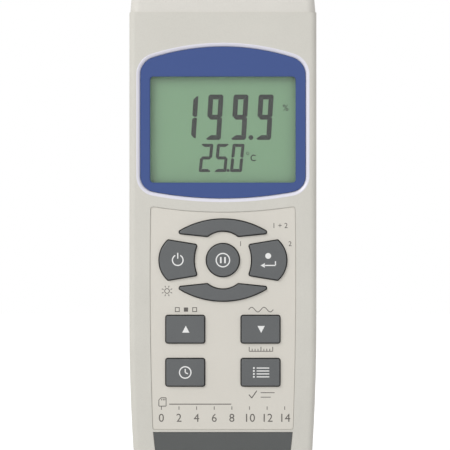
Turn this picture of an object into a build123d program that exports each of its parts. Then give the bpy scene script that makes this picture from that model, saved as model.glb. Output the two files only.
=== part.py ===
"""Handheld water-quality meter with plug-in probes and a memory card.

The meter stands on its lower end: X runs across the face, Y from the face to the back,
Z up along the body. The origin is the middle of the foot. All sizes are in millimetres.
"""

import os
from math import atan, degrees, radians, sqrt, tan

from build123d import *

os.makedirs("parts", exist_ok=True)

# Case
case_width = 68.0
case_length = 177.0
cap_height = 11.5
face_depth = 21.7  # parting plane to front face
back_depth = 22.5  # parting plane to the fullest point of the back
wall = 2.2
face_wall = 2.5
draft_angle = 1.5
face_edge_radius = 2.2
back_edge_radius = 2.8
inner_edge_radius = 0.8
foot_corner_radius = 7.0
foot_trim = 0.6  # draft cut off so that the foot is flat
side_taper_start = 54.0  # below this height the sides curve in
side_taper_radius = 720.0
back_crown_height = 120.0  # where the back is fullest
back_crown_radius = 3000.0
lip_height = 1.5
lip_thickness = 1.0
seat_clearance = 0.15  # between pieces that drop into each other
body_height = case_length - cap_height

# Top cap
cap_inset = 0.3
cap_taper = 5.0
cap_top_radius = 2.0
cap_front_corner = 3.4
cap_rear_corner = 4.0
cap_roof = 2.5
spigot_depth = 4.0
spigot_wall = 1.6
spigot_corner = 1.0

# Display
display_width = 59.3
display_top = 153.3
display_bottom = 98.9
display_top_arc = 82.5
display_bottom_arc = 136.0
display_top_corner = 6.5
display_bottom_corner = 5.8
rim_width = 1.1
rim_depth = 0.75
bezel_thickness = 1.0
bezel_setback = 0.3
window_width = 52.0
window_height = 37.9
window_middle = 123.55
window_corner = 1.2
lens_margin = 1.4
lens_thickness = 0.8
lens_ledge = 0.9
glass_width = 55.2
glass_height = 43.4
glass_thickness = 2.2
glass_step = 1.6
glass_depth = 3.6  # face to the front of the glass
backlight_margin = 1.4
strip_width = 1.0
frame_wall = 1.5
frame_window_margin = 0.5

# Keypad
panel_top_corner = 96.2
panel_top_middle = 94.1
panel_bottom = 16.2
panel_half_top = 25.9
panel_half_middle = 26.05
panel_half_bottom = 25.15
panel_corner = 1.0
panel_recess = 0.5
panel_thickness = 0.25
keypad_middle = 76.9
key_gap = 0.4
key_proud = 0.8
key_travel = 1.2
key_edge_radius = 0.35
key_flange = 0.7
key_flange_thickness = 1.0
key_float = 0.1
key_stop = 0.15  # plunger to board at the end of the travel
round_key_radius = 6.2
arc_key_top = 14.95
arc_key_tip = 17.5
arc_key_tip_height = 9.4
arc_key_notch = 5.4
arc_key_notch_height = 8.15
arc_key_hollow = 10.1
arc_key_corner = 0.85
side_key_reach = 23.1
side_key_shoulder = 19.7
side_key_outer_half = 7.5
side_key_inner = 8.75
side_key_inner_half = 5.7
side_key_hollow = 10.0
side_key_corner = 0.9
square_key_width = 14.4
square_key_height = 10.4
square_key_corner = 1.0
square_key_column = 13.45
square_key_rows = (52.2, 36.8)
plunger_radius = 2.2
small_plunger_radius = 1.4
mat_thickness = 1.0
mat_width = 48.0
mat_bottom = 24.0
mat_top = 94.0
mat_corner = 2.0
dome_wall = 1.0
dome_height = 1.0
dome_clearance = 0.6

# Dark plate under the keypad
plate_top = 15.5
plate_bottom = 5.4
plate_half_top = 25.0
plate_half_bottom = 24.0
plate_bottom_bow = 0.6
plate_corner = 2.4
plate_thickness = 0.35

# Boards
board_thickness = 1.6
board_face = 14.6  # parting plane to the board's front
board_width = 57.0
board_bottom = 12.0
board_top = 153.0
board_post_radius = 2.2
board_post_columns = 26.3
board_post_rows = (15.0, 97.2, 150.3)
board_screw_radius = 1.1
board_screw_head = 2.2
board_screw_head_height = 1.5
board_screw_length = 4.0
board_corner = 2.0
board_margin = 0.3
link_board_width = 48.0
link_board_depth = 24.0
link_board_top = 163.0
link_board_middle = -1.4
header_pins = 12
header_pitch = 2.54
header_pin_width = 0.6
header_hole_radius = 0.45
header_body_height = 6.0
header_body_depth = 2.5
header_top = 151.0

# Screws that hold the case halves
case_screw_points = ((26.0, 157.0), (23.5, 8.0))
case_boss_radius = 3.3
case_tube_radius = 4.2
case_screw_radius = 1.45
case_screw_head_radius = 2.7
case_screw_head_height = 2.0
case_screw_seat = 11.5  # parting plane to the underside of the head
case_screw_length = 20.0
screw_fit = 0.02
screw_clearance = 0.15
screw_slot_width = 0.8
screw_slot_share = 0.5

# Cells and their bay
cell_count = 6
cell_radius = 7.2
cell_length = 50.5
cell_nub_radius = 2.75
cell_nub_height = 1.2
cell_shoulder = 0.8
cell_pitch = 14.7
bay_bottom = 20.6
bay_half = 27.4
bay_wall = 2.6
bay_floor = 2.6
bay_floor_thickness = 1.6
contact_thickness = 0.4
contact_size = 9.0
spring_turns = 3
spring_wire = 0.8
spring_radius = 3.6
spring_end_radius = 2.6

# Cover over the cells
cover_half = 29.0
cover_bottom = 13.0
cover_top = 111.5
cover_thickness = 2.0
cover_corner = 3.0
cover_gap = 0.2
cover_screw_columns = 20.0
cover_screw_row = 16.6
cover_boss_radius = 3.2
cover_screw_radius = 1.45
cover_screw_head_radius = 2.6
cover_screw_head_height = 1.2
cover_screw_length = 9.0
shelf_depth = 9.0
seat_depth = 5.0
cell_bed_gap = 0.1
pad_gap = 0.3
pad_bottom = 50.0
grip_ribs = 5
grip_rib_pitch = 3.0
grip_rib_width = 30.0
grip_rib_height = 0.5
grip_rib_inset = 5.0
pad_half = 6.0

# Folding stand
stand_half = 19.5
stand_foot = 113.6
stand_thickness = 3.6
stand_gap = 0.35
stand_recess = 4.2
stand_pivot_height = 156.0
stand_pivot_depth = 2.1  # back face to the pivot
stand_corner = 3.0
stand_pin_radius = 1.0
stand_pin_clearance = 0.06
stand_barrel = 1.8
stand_pin_length = 5.0
stand_pin_bite = 2.5
stand_window_half = 13.0
stand_window_bottom = 120.0
stand_window_top = 148.0
stand_window_corner = 4.0
tripod_height = 131.0
tripod_island_radius = 7.6
tripod_nut_radius = 4.6
tripod_bore_radius = 2.6
tripod_nut_length = 9.0
tripod_set = 0.3

# Socket bay in the right side
bay_front = 16.4  # parting plane to the bay's front end
bay_low = 22.8
bay_high = 83.2
bay_face = 29.6  # middle of the case to the face with the sockets
bay_face_wall = 1.6
bay_end_wall = 2.4
bay_front_wall = 1.2
bay_back_wall = 1.4
door_gap = 0.25
door_thickness = 1.9
door_barrel = 1.75
door_pivot_x = 32.2
door_pivot_depth = 2.2  # parting plane to the door's pivot
door_pin_radius = 0.5
door_pin_clearance = 0.05
door_pin_bite = 1.6
nail_notch_width = 9.0
nail_notch_radius = 1.0
socket_hole_margin = 0.4

# Sockets in the bay
card_width = 24.0
card_length = 32.0
card_thickness = 2.1
card_middle = 40.0
card_clearance = 0.25
card_notch = 4.0
card_out = 1.3
card_socket_width = 28.0
card_socket_length = 31.0
card_socket_height = 3.1
card_socket_sheet = 0.35
power_jack_height = 62.0
power_jack_width = 9.0
power_jack_depth = 10.4
power_jack_length = 13.6
power_bore_radius = 2.85
power_bore_depth = 9.5
power_pin_radius = 1.0
data_jack_height = 72.2
data_jack_width = 7.0
data_jack_depth = 6.0
data_jack_length = 12.5
data_nose_radius = 2.7
data_bore_radius = 1.8
data_bore_depth = 11.0
reset_height = 79.3
reset_switch_width = 4.6
reset_switch_depth = 4.4
reset_switch_length = 4.0
reset_plunger_radius = 0.75
reset_plunger_reach = 1.3
reset_hole_radius = 1.1
reset_travel = 0.3
reset_clearance = 0.1
reset_setback = 0.3
reset_socket_depth = 2.0
socket_setback = 0.2
power_pin_drop = 1.0

# Sockets on the cap
socket_line = 1.5  # parting plane to the row of sockets
socket_fit = 0.05
nut_height = 2.2
nut_rim = 1.8
coax_x = -19.0
coax_radius = 4.8
coax_thread_radius = 6.0
coax_bore_radius = 4.05
coax_reach = 11.0
coax_bore_depth = 10.5
coax_flange_radius = 7.4
coax_flange_height = 1.6
coax_lug_radius = 0.95
coax_lug_reach = 5.5
coax_lug_drop = 4.9
coax_core_radius = 2.35
coax_core_drop = 1.2
coax_contact_radius = 1.05
coax_contact_bore_radius = 0.5
coax_contact_bore_depth = 5.0
probe_x = 1.5
probe_radius = 7.0
probe_flange_radius = 8.8
probe_flange_height = 1.6
probe_reach = 4.0
probe_mouth_radius = 5.8
probe_mouth_depth = 2.8
probe_bore_radius = 5.4
probe_bore_depth = 8.0
probe_pin_circle = 3.2
probe_pin_count = 5
probe_pin_arc = 180.0  # from the first pin to the last
probe_pin_radius = 0.5
probe_pin_stand = 5.0
probe_key_radius = 1.0
probe_lip_radius = 0.5
temp_x = 20.5
temp_radius = 3.0
temp_flange_radius = 4.6
temp_flange_height = 1.8
temp_bore_radius = 1.8
temp_bore_depth = 13.5
tail_pin_radius = 0.5
tail_pin_reach = 2.2

# Board parts
buzzer_radius = 6.0
buzzer_height = 3.2
buzzer_x = -15.0
buzzer_z = 112.0
chips = ((-8.0, 60.0, 12.0, 12.0, 1.6), (-16.0, 40.0, 10.0, 6.0, 1.5), (4.0, 92.0, 8.0, 5.0, 1.4),
         (-18.0, 86.0, 6.0, 5.0, 1.2), (14.0, 118.0, 7.0, 7.0, 1.3), (2.0, 134.0, 9.0, 5.0, 1.4))

overlap = 0.01
face_y = -face_depth
board_y = -board_face
board_back_y = board_y + board_thickness
inner_face_y = face_y + face_wall


def front_plane(y, x=0.0, z=0.0):
    """Plane seen from the front: local x is X, local y is Z, and it faces the reader."""
    return Plane(origin=(x, y, z), x_dir=(1, 0, 0), z_dir=(0, -1, 0))


def rear_plane(y, x=0.0, z=0.0):
    """Plane seen from behind: local x is -X, local y is Z, and it faces away from the reader."""
    return Plane(origin=(x, y, z), x_dir=(-1, 0, 0), z_dir=(0, 1, 0))


def side_plane(x, y=0.0, z=0.0):
    """Plane seen from the right: local x is Y, local y is Z."""
    return Plane(origin=(x, y, z), x_dir=(0, 1, 0), z_dir=(1, 0, 0))


def back_y(z, inset=0.0):
    """Where the crowned back lies at a height."""
    drop = back_crown_radius - sqrt(back_crown_radius**2 - (z - back_crown_height) ** 2)
    return back_depth - drop - inset


def write(builder, label):
    """Names a finished piece and writes it."""
    builder.part.label = label
    export_step(builder.part, f"parts/{label}.step")


# Outlines


def body_outline(inset=0.0):
    """The case seen from the front, longer than the body so that its end can be cut square."""
    half = case_width / 2
    taper = side_taper_start

    foot = -foot_trim

    def side(z):
        return half - side_taper_radius + sqrt(side_taper_radius**2 - (taper - z) ** 2)

    tall = case_length + cap_height
    with BuildSketch() as outline:
        with BuildLine():
            Polyline((half, taper), (half, tall), (-half, tall), (-half, taper))
            ThreePointArc((-half, taper), (-side(taper / 2), taper / 2), (-side(foot), foot))
            Line((-side(foot), foot), (side(foot), foot))
            ThreePointArc((side(foot), foot), (side(taper / 2), taper / 2), (half, taper))
        make_face()
        fillet(outline.vertices().group_by(Axis.Y)[0], foot_corner_radius)
        if inset:
            offset(amount=-inset)
    return outline.sketch


def end_outline(inset, front_radius, rear_radius, face_inset=None):
    """The body's cross-section where the cap starts, seen from above."""
    front = face_y + (inset if face_inset is None else face_inset)
    rear = back_y(body_height, inset)
    half = case_width / 2 - inset
    lean = tan(radians(draft_angle))
    with BuildSketch() as outline:
        with BuildLine():
            Polyline(
                (-half + abs(front) * lean, front),
                (half - abs(front) * lean, front),
                (half, 0),
                (half - rear * lean, rear),
                (-half + rear * lean, rear),
                (-half, 0),
                close=True,
            )
        make_face()
        fillet(outline.vertices().group_by(Axis.Y)[0], front_radius)
        fillet(outline.vertices().group_by(Axis.Y)[-1], rear_radius)
    return outline.sketch


def display_outline(margin=0.0):
    """The display's frame: bowed top and bottom edges and round corners."""
    half = display_width / 2
    top_side = display_top - display_top_arc + sqrt(display_top_arc**2 - half**2)
    low_side = display_bottom + display_bottom_arc - sqrt(display_bottom_arc**2 - half**2)
    with BuildSketch() as outline:
        with BuildLine():
            ThreePointArc((-half, top_side), (0, display_top), (half, top_side))
            Line((half, top_side), (half, low_side))
            ThreePointArc((half, low_side), (0, display_bottom), (-half, low_side))
            Line((-half, low_side), (-half, top_side))
        make_face()
        fillet(outline.vertices().group_by(Axis.Y)[-1], display_top_corner)
        fillet(outline.vertices().group_by(Axis.Y)[0], display_bottom_corner)
        if margin:
            offset(amount=margin)
    return outline.sketch


def window_outline(margin=0.0):
    """The display's clear window."""
    with BuildSketch() as outline:
        with Locations((0, window_middle)):
            RectangleRounded(
                window_width + 2 * margin, window_height + 2 * margin, window_corner + max(margin, 0)
            )
    return outline.sketch


def panel_outline(margin=0.0):
    """The keypad's panel: its top edge follows the display, and its sides bow out a little."""
    middle = (panel_top_corner + panel_bottom) / 2
    with BuildSketch() as outline:
        with BuildLine():
            ThreePointArc(
                (-panel_half_top, panel_top_corner),
                (0, panel_top_middle),
                (panel_half_top, panel_top_corner),
            )
            ThreePointArc(
                (panel_half_top, panel_top_corner),
                (panel_half_middle, middle),
                (panel_half_bottom, panel_bottom),
            )
            Line((panel_half_bottom, panel_bottom), (-panel_half_bottom, panel_bottom))
            ThreePointArc(
                (-panel_half_bottom, panel_bottom),
                (-panel_half_middle, middle),
                (-panel_half_top, panel_top_corner),
            )
        make_face()
        fillet(outline.vertices(), panel_corner)
        if margin:
            offset(amount=margin)
    return outline.sketch


def plate_outline(margin=0.0):
    """The dark plate under the keypad, with a bowed lower edge."""
    with BuildSketch() as outline:
        with BuildLine():
            Polyline(
                (-plate_half_bottom, plate_bottom + plate_bottom_bow),
                (-plate_half_top, plate_top),
                (plate_half_top, plate_top),
                (plate_half_bottom, plate_bottom + plate_bottom_bow),
            )
            ThreePointArc(
                (plate_half_bottom, plate_bottom + plate_bottom_bow),
                (0, plate_bottom),
                (-plate_half_bottom, plate_bottom + plate_bottom_bow),
            )
        make_face()
        fillet(outline.vertices().group_by(Axis.Y)[0], plate_corner)
        if margin:
            offset(amount=margin)
    return outline.sketch


def round_key_outline(margin=0.0):
    """The keypad's middle key."""
    with BuildSketch() as outline:
        Circle(round_key_radius + margin)
    return outline.sketch


def arc_key_outline(side, margin=0.0):
    """A crescent above (side 1) or below (side -1) the middle key."""
    tip = (arc_key_tip, side * arc_key_tip_height)
    notch = (arc_key_notch, side * arc_key_notch_height)
    with BuildSketch() as outline:
        with BuildLine():
            ThreePointArc((-tip[0], tip[1]), (0, side * arc_key_top), tip)
            Line(tip, notch)
            ThreePointArc(notch, (0, side * arc_key_hollow), (-notch[0], notch[1]))
            Line((-notch[0], notch[1]), (-tip[0], tip[1]))
        make_face()
        if margin:
            offset(amount=margin, kind=Kind.INTERSECTION)
        fillet(outline.vertices(), arc_key_corner + min(margin, 0))
    return outline.sketch


def side_key_outline(side, margin=0.0):
    """A key left (side -1) or right (side 1) of the middle key."""
    inner = side * side_key_inner
    shoulder = side * side_key_shoulder
    with BuildSketch() as outline:
        with BuildLine():
            ThreePointArc(
                (shoulder, side_key_outer_half),
                (side * side_key_reach, 0),
                (shoulder, -side_key_outer_half),
            )
            Line((shoulder, -side_key_outer_half), (inner, -side_key_inner_half))
            ThreePointArc(
                (inner, -side_key_inner_half),
                (side * side_key_hollow, 0),
                (inner, side_key_inner_half),
            )
            Line((inner, side_key_inner_half), (shoulder, side_key_outer_half))
        make_face()
        if margin:
            offset(amount=margin, kind=Kind.INTERSECTION)
        fillet(outline.vertices(), side_key_corner + min(margin, 0))
    return outline.sketch


def square_key_outline(margin=0.0):
    """One of the four oblong keys."""
    with BuildSketch() as outline:
        RectangleRounded(
            square_key_width + 2 * margin,
            square_key_height + 2 * margin,
            square_key_corner + max(margin, -square_key_corner / 2),
        )
    return outline.sketch


# Each key: its outline, its middle on the face, its plunger's place and radius
side_plunger = (side_key_hollow + side_key_reach) / 2
arc_plunger = (arc_key_hollow + arc_key_top) / 2
keys = {
    "hold_key": (round_key_outline, (0, keypad_middle), (0, 0), plunger_radius),
    "power_key": (lambda m: side_key_outline(-1, m), (0, keypad_middle), (-side_plunger, 0), plunger_radius),
    "record_key": (lambda m: side_key_outline(1, m), (0, keypad_middle), (side_plunger, 0), plunger_radius),
    "upper_blank_key": (
        lambda m: arc_key_outline(1, m), (0, keypad_middle), (0, arc_plunger), small_plunger_radius
    ),
    "lower_blank_key": (
        lambda m: arc_key_outline(-1, m), (0, keypad_middle), (0, -arc_plunger), small_plunger_radius
    ),
    "up_key": (square_key_outline, (-square_key_column, square_key_rows[0]), (0, 0), plunger_radius),
    "down_key": (square_key_outline, (square_key_column, square_key_rows[0]), (0, 0), plunger_radius),
    "time_key": (square_key_outline, (-square_key_column, square_key_rows[1]), (0, 0), plunger_radius),
    "logger_key": (square_key_outline, (square_key_column, square_key_rows[1]), (0, 0), plunger_radius),
}


# Blocks that the case, the cover and the door are cut from


def front_block(inset, depth, edge_radius):
    """The case in front of the parting plane, as a solid."""
    with BuildPart() as block:
        with BuildSketch(front_plane(0)):
            add(body_outline(inset))
        extrude(amount=depth, taper=draft_angle)
        fillet(block.faces().sort_by(Axis.Y)[0].edges(), edge_radius)
        split(bisect_by=Plane.XY, keep=Keep.TOP)
        split(bisect_by=Plane.XY.offset(body_height), keep=Keep.BOTTOM)
    return block.part


def rear_block(inset, edge_radius):
    """The case behind the parting plane, as a solid with a crowned back."""
    tall = case_length + cap_height
    with BuildPart() as block:
        with BuildSketch(rear_plane(0)):
            add(body_outline(inset))
        extrude(amount=back_depth, taper=draft_angle)
        with BuildSketch(side_plane(0)):
            with BuildLine():
                ThreePointArc(
                    (back_y(-wall, inset), -wall),
                    (back_y(tall / 2, inset), tall / 2),
                    (back_y(tall, inset), tall),
                )
                Polyline(
                    (back_y(tall, inset), tall),
                    (-wall, tall),
                    (-wall, -wall),
                    (back_y(-wall, inset), -wall),
                )
            make_face()
        extrude(amount=case_width, both=True, mode=Mode.INTERSECT)
        fillet(block.faces().sort_by(Axis.Y)[-1].edges(), edge_radius)
        split(bisect_by=Plane.XY, keep=Keep.TOP)
        split(bisect_by=Plane.XY.offset(body_height), keep=Keep.BOTTOM)
    return block.part




outer_front = front_block(0, face_depth, face_edge_radius)
inner_front = front_block(wall, face_depth - face_wall, inner_edge_radius)
outer_rear = rear_block(0, back_edge_radius)
inner_rear = rear_block(wall, inner_edge_radius)
core_rear = rear_block(wall / 2, back_edge_radius - wall / 2)

# Places that several pieces share
bezel_floor = face_y + bezel_setback + bezel_thickness
panel_floor = face_y + panel_recess
glass_front = face_y + glass_depth
lens_rear = bezel_floor + lens_thickness
mat_front = board_y - mat_thickness
flange_front = inner_face_y + key_float
flange_rear = flange_front + key_flange_thickness
plunger_end = board_y - key_travel - key_stop
screw_places = [(side * x, z) for side in (-1, 1) for x, z in case_screw_points]
post_places = [(side * board_post_columns, z) for side in (-1, 1) for z in board_post_rows]
door_pivot_y = -door_pivot_depth
socket_places = ((coax_x, coax_thread_radius), (probe_x, probe_radius), (temp_x, temp_radius))
bay_height = bay_high - bay_low
bay_middle = (bay_high + bay_low) / 2
card_plane_y = board_back_y + card_socket_height / 2
power_y = board_back_y + power_jack_depth / 2
data_y = board_back_y + data_jack_depth / 2
reset_y = board_back_y + reset_switch_depth / 2
stand_pivot_y = back_y(stand_pivot_height) - stand_pivot_depth
tripod_boss_depth = tripod_nut_length + tripod_set + wall - stand_recess
tripod_floor = back_y(tripod_height) - tripod_set - tripod_nut_length
cover_screw_places = [(side * cover_screw_columns, cover_screw_row) for side in (-1, 1)]
cover_screw_seat = back_y(cover_screw_row) - cover_screw_head_height
cap_floor = body_height - spigot_depth
header_pin_y = board_back_y + header_body_depth / 2
roof_underside = case_length - cap_roof
bay_top = bay_bottom + cell_count * cell_pitch
bay_bed = bay_floor + bay_floor_thickness
cell_y = bay_bed + cell_bed_gap + cell_radius


def make_bay_walls():
    """Walls of the socket bay, kept inside the case's outline."""
    with BuildPart() as walls:
        with BuildSketch(side_plane(bay_face - bay_face_wall)):
            with Locations((-(bay_front + bay_front_wall) / 2, bay_middle)):
                Rectangle(bay_front + bay_front_wall, bay_height + 2 * bay_end_wall)
        extrude(amount=case_width / 2)
        add(outer_front, mode=Mode.INTERSECT)
    return walls.part


bay_walls = make_bay_walls()


def write_front_case():
    """The front shell with its display opening, keypad recess, posts and socket bay."""
    with BuildPart() as case:
        add(outer_front)
        add(inner_front, mode=Mode.SUBTRACT)
        add(bay_walls)
        # posts for the board and bosses for the case screws
        with BuildSketch(front_plane(board_y)):
            with Locations(*post_places):
                Circle(board_post_radius)
        extrude(amount=face_depth - board_face - face_wall / 2)
        with BuildSketch(front_plane(0)):
            with Locations(*screw_places):
                Circle(case_boss_radius)
        extrude(amount=face_depth - face_wall / 2)
        with BuildSketch(front_plane(board_y)):
            with Locations(*post_places):
                Circle(board_screw_radius + screw_fit)
        extrude(amount=board_screw_length - board_thickness + screw_clearance, mode=Mode.SUBTRACT)
        with BuildSketch(front_plane(0)):
            with Locations(*screw_places):
                Circle(case_screw_radius + screw_fit)
        extrude(amount=case_screw_length - case_screw_seat + screw_clearance, mode=Mode.SUBTRACT)
        # display: bevelled rim, seat for the blue frame, seat for the lens, opening
        with BuildSketch(front_plane(face_y - overlap)):
            add(display_outline(rim_width + overlap))
        with BuildSketch(front_plane(face_y + rim_depth)):
            add(display_outline(0))
        loft(mode=Mode.SUBTRACT)
        with BuildSketch(front_plane(bezel_floor)):
            add(display_outline(0))
        extrude(amount=face_depth, mode=Mode.SUBTRACT)
        with BuildSketch(front_plane(lens_rear)):
            add(window_outline(lens_margin))
        extrude(amount=face_depth, mode=Mode.SUBTRACT)
        with BuildSketch(front_plane(0)):
            add(window_outline(lens_margin - lens_ledge))
        extrude(amount=face_depth, mode=Mode.SUBTRACT)
        # keypad recess and plate recess
        with BuildSketch(front_plane(panel_floor)):
            add(panel_outline())
            add(plate_outline())
        extrude(amount=face_depth, mode=Mode.SUBTRACT)
        # key openings
        for outline, middle, _, _ in keys.values():
            with BuildSketch(front_plane(0)):
                with Locations(middle):
                    add(outline(0))
            extrude(amount=face_depth, mode=Mode.SUBTRACT)
        # socket bay, its sockets' holes and the bores for the door's pins
        with BuildSketch(side_plane(bay_face)):
            with Locations((-bay_front / 2, bay_middle)):
                Rectangle(bay_front, bay_height)
        extrude(amount=case_width / 2, mode=Mode.SUBTRACT)
        with BuildSketch(side_plane(bay_face + overlap)):
            with Locations((card_plane_y, card_middle)):
                Rectangle(card_thickness + 2 * card_clearance, card_width + 2 * card_clearance)
            with Locations((power_y, power_jack_height)):
                Circle(power_bore_radius + socket_hole_margin)
            with Locations((data_y, data_jack_height)):
                Circle(data_nose_radius + seat_clearance)
            with Locations((reset_y, reset_height)):
                Circle(reset_hole_radius)
        extrude(amount=-bay_face_wall - 2 * overlap, mode=Mode.SUBTRACT)
        with Locations(Location((door_pivot_x, door_pivot_y, bay_middle))):
            Cylinder(
                door_pin_radius + door_pin_clearance,
                bay_height + 2 * (door_pin_bite + seat_clearance),
                mode=Mode.SUBTRACT,
            )
    write(case, "front_case")


def write_rear_case():
    """The back shell with its cell bay, cover seat, stand recess, tripod boss and screw tubes."""
    stand_floor = back_y(stand_pivot_height) - stand_recess
    recess_bottom = stand_foot - stand_gap
    recess_top = stand_pivot_height + stand_barrel + stand_gap
    recess_middle = (recess_top + recess_bottom) / 2
    recess_half = stand_half + stand_gap
    cover_middle = (cover_top + cover_bottom) / 2
    bay_center = (bay_top + bay_bottom) / 2
    lip_core = body_outline(wall + seat_clearance + lip_thickness)
    lip_end = case_length - cap_floor + seat_clearance
    with BuildPart() as solid_parts:
        # block round the cells
        with BuildSketch(rear_plane(bay_floor)):
            with Locations((0, bay_center)):
                Rectangle(2 * (bay_half + bay_wall), bay_top - bay_bottom + 2 * bay_wall)
        extrude(amount=back_depth)
        # seat under the cover's edge
        with BuildSketch(rear_plane(back_y(cover_bottom) - seat_depth)):
            add(body_outline(wall / 2))
            with Locations((0, cover_middle)):
                Rectangle(case_width, cover_top - cover_bottom + 2 * wall, mode=Mode.INTERSECT)
        extrude(amount=back_depth)
        # walls of the stand's recess
        with BuildSketch(rear_plane(stand_floor - wall)):
            with Locations((0, recess_middle)):
                Rectangle(2 * (recess_half + wall), recess_top - recess_bottom + 2 * wall)
        extrude(amount=back_depth)
        with BuildSketch(rear_plane(stand_floor - tripod_boss_depth)):
            with Locations((0, tripod_height)):
                Circle(tripod_island_radius)
        extrude(amount=back_depth)
        # tubes for the case screws and bosses for the cover's screws
        with BuildSketch(rear_plane(0)):
            with Locations(*screw_places):
                Circle(case_tube_radius)
        extrude(amount=back_depth)
        with BuildSketch(rear_plane(back_y(cover_screw_row) - cover_thickness - shelf_depth)):
            with Locations(*cover_screw_places):
                Circle(cover_boss_radius)
        extrude(amount=back_depth)
        # wall that closes the socket bay towards the back
        with BuildSketch(rear_plane(0)):
            with Locations((-(bay_face - bay_face_wall + case_width / 2) / 2, bay_middle)):
                Rectangle(case_width / 2 - bay_face + bay_face_wall, bay_height + 2 * bay_end_wall)
        extrude(amount=bay_back_wall)
        add(core_rear, mode=Mode.INTERSECT)
    with BuildPart() as case:
        add(outer_rear)
        add(inner_rear, mode=Mode.SUBTRACT)
        add(solid_parts.part)
        # lip that drops into the front shell, and the ledge that carries it
        with BuildSketch(rear_plane(0)):
            add(body_outline(wall * 0.75))
            add(lip_core, mode=Mode.SUBTRACT)
            with Locations((0, case_length)):
                Rectangle(case_width, 2 * lip_end, mode=Mode.SUBTRACT)
        extrude(amount=lip_height)
        with BuildSketch(front_plane(0)):
            add(body_outline(wall + seat_clearance))
            add(lip_core, mode=Mode.SUBTRACT)
            with Locations((0, case_length)):
                Rectangle(case_width, 2 * lip_end, mode=Mode.SUBTRACT)
            with Locations((case_width / 2, bay_middle)):
                Rectangle(case_width / 2, bay_height + 2 * (bay_end_wall + seat_clearance), mode=Mode.SUBTRACT)
        extrude(amount=lip_height)
        # cells' bay and the cover's recess
        with BuildSketch(rear_plane(bay_bed)):
            with Locations((0, bay_center)):
                Rectangle(2 * bay_half, bay_top - bay_bottom)
        extrude(amount=back_depth, mode=Mode.SUBTRACT)
        add(cover_slab(0), mode=Mode.SUBTRACT)
        # stand's recess, leaving the tripod boss
        with BuildSketch(rear_plane(stand_floor)):
            with Locations((0, recess_middle)):
                Rectangle(2 * recess_half, recess_top - recess_bottom)
            with Locations((0, tripod_height)):
                Circle(tripod_island_radius, mode=Mode.SUBTRACT)
        extrude(amount=back_depth, mode=Mode.SUBTRACT)
        with Locations(Location((0, stand_pivot_y, stand_pivot_height), (0, 90, 0))):
            Cylinder(
                stand_pin_radius + stand_pin_clearance,
                2 * (stand_half + stand_pin_bite + stand_gap),
                mode=Mode.SUBTRACT,
            )
        # tripod nut's seat, cut from its floor out through the crowned back
        with BuildSketch(rear_plane(tripod_floor)):
            with Locations((0, tripod_height)):
                Circle(tripod_nut_radius)
        extrude(amount=back_depth, mode=Mode.SUBTRACT)
        # case screws
        with BuildSketch(rear_plane(case_screw_seat)):
            with Locations(*screw_places):
                Circle(case_screw_head_radius + screw_clearance)
        extrude(amount=back_depth, mode=Mode.SUBTRACT)
        with BuildSketch(rear_plane(0)):
            with Locations(*screw_places):
                Circle(case_screw_radius + screw_clearance)
        extrude(amount=back_depth, mode=Mode.SUBTRACT)
        # cover screws
        with BuildSketch(rear_plane(cover_screw_seat - cover_screw_length)):
            with Locations(*cover_screw_places):
                Circle(cover_screw_radius + screw_fit)
        extrude(amount=back_depth, mode=Mode.SUBTRACT)
    write(case, "rear_case")


def cover_slab(gap):
    """The back's outer skin within the cover's outline."""
    low = cover_bottom - cover_thickness
    high = cover_top + cover_thickness
    middle = (cover_top + cover_bottom) / 2
    with BuildPart() as slab:
        with BuildSketch(side_plane(0)):
            with BuildLine():
                ThreePointArc(
                    (back_y(low, cover_thickness), low),
                    (back_y(middle, cover_thickness), middle),
                    (back_y(high, cover_thickness), high),
                )
                Polyline(
                    (back_y(high, cover_thickness), high),
                    (back_depth + cover_thickness, high),
                    (back_depth + cover_thickness, low),
                    (back_y(low, cover_thickness), low),
                )
            make_face()
        extrude(amount=case_width / 2, both=True)
        with BuildSketch(rear_plane(0)):
            with Locations((0, middle)):
                RectangleRounded(2 * (cover_half - gap), cover_top - cover_bottom - 2 * gap, cover_corner - gap)
        extrude(amount=2 * back_depth, mode=Mode.INTERSECT)
    return slab.part


def write_top_cap():
    """The cap with a spigot inside the body and holes for the sockets."""
    with BuildPart() as cap:
        with BuildSketch(Plane.XY.offset(body_height)):
            add(end_outline(cap_inset, cap_front_corner, cap_rear_corner))
        extrude(amount=cap_height, taper=cap_taper)
        fillet(cap.faces().sort_by(Axis.Z)[-1].edges(), cap_top_radius)
        with BuildSketch(Plane.XY.offset(cap_floor)):
            add(end_outline(wall + seat_clearance, spigot_corner, spigot_corner, face_wall + seat_clearance))
        extrude(amount=spigot_depth)
        inset = wall + seat_clearance + spigot_wall
        with BuildSketch(Plane.XY.offset(cap_floor)):
            add(end_outline(inset, spigot_corner, spigot_corner, face_wall + seat_clearance + spigot_wall))
        extrude(amount=roof_underside - cap_floor, mode=Mode.SUBTRACT)
        with BuildSketch(Plane.XY.offset(roof_underside)):
            for x, radius in socket_places:
                with Locations((x, socket_line)):
                    Circle(radius + socket_fit)
        extrude(amount=2 * cap_roof, mode=Mode.SUBTRACT)
    write(cap, "top_cap")


def write_keypad_panel():
    """The thin light panel in its recess, open round every key."""
    with BuildPart() as panel:
        with BuildSketch(front_plane(panel_floor)):
            add(panel_outline(-seat_clearance))
            for outline, middle, _, _ in keys.values():
                with Locations(middle):
                    add(outline(0), mode=Mode.SUBTRACT)
        extrude(amount=panel_thickness)
    write(panel, "keypad_panel")


def write_name_plate():
    """The bare dark plate under the keypad."""
    with BuildPart() as plate:
        with BuildSketch(front_plane(panel_floor)):
            add(plate_outline(-seat_clearance))
        extrude(amount=plate_thickness)
    write(plate, "lower_plate")


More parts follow.
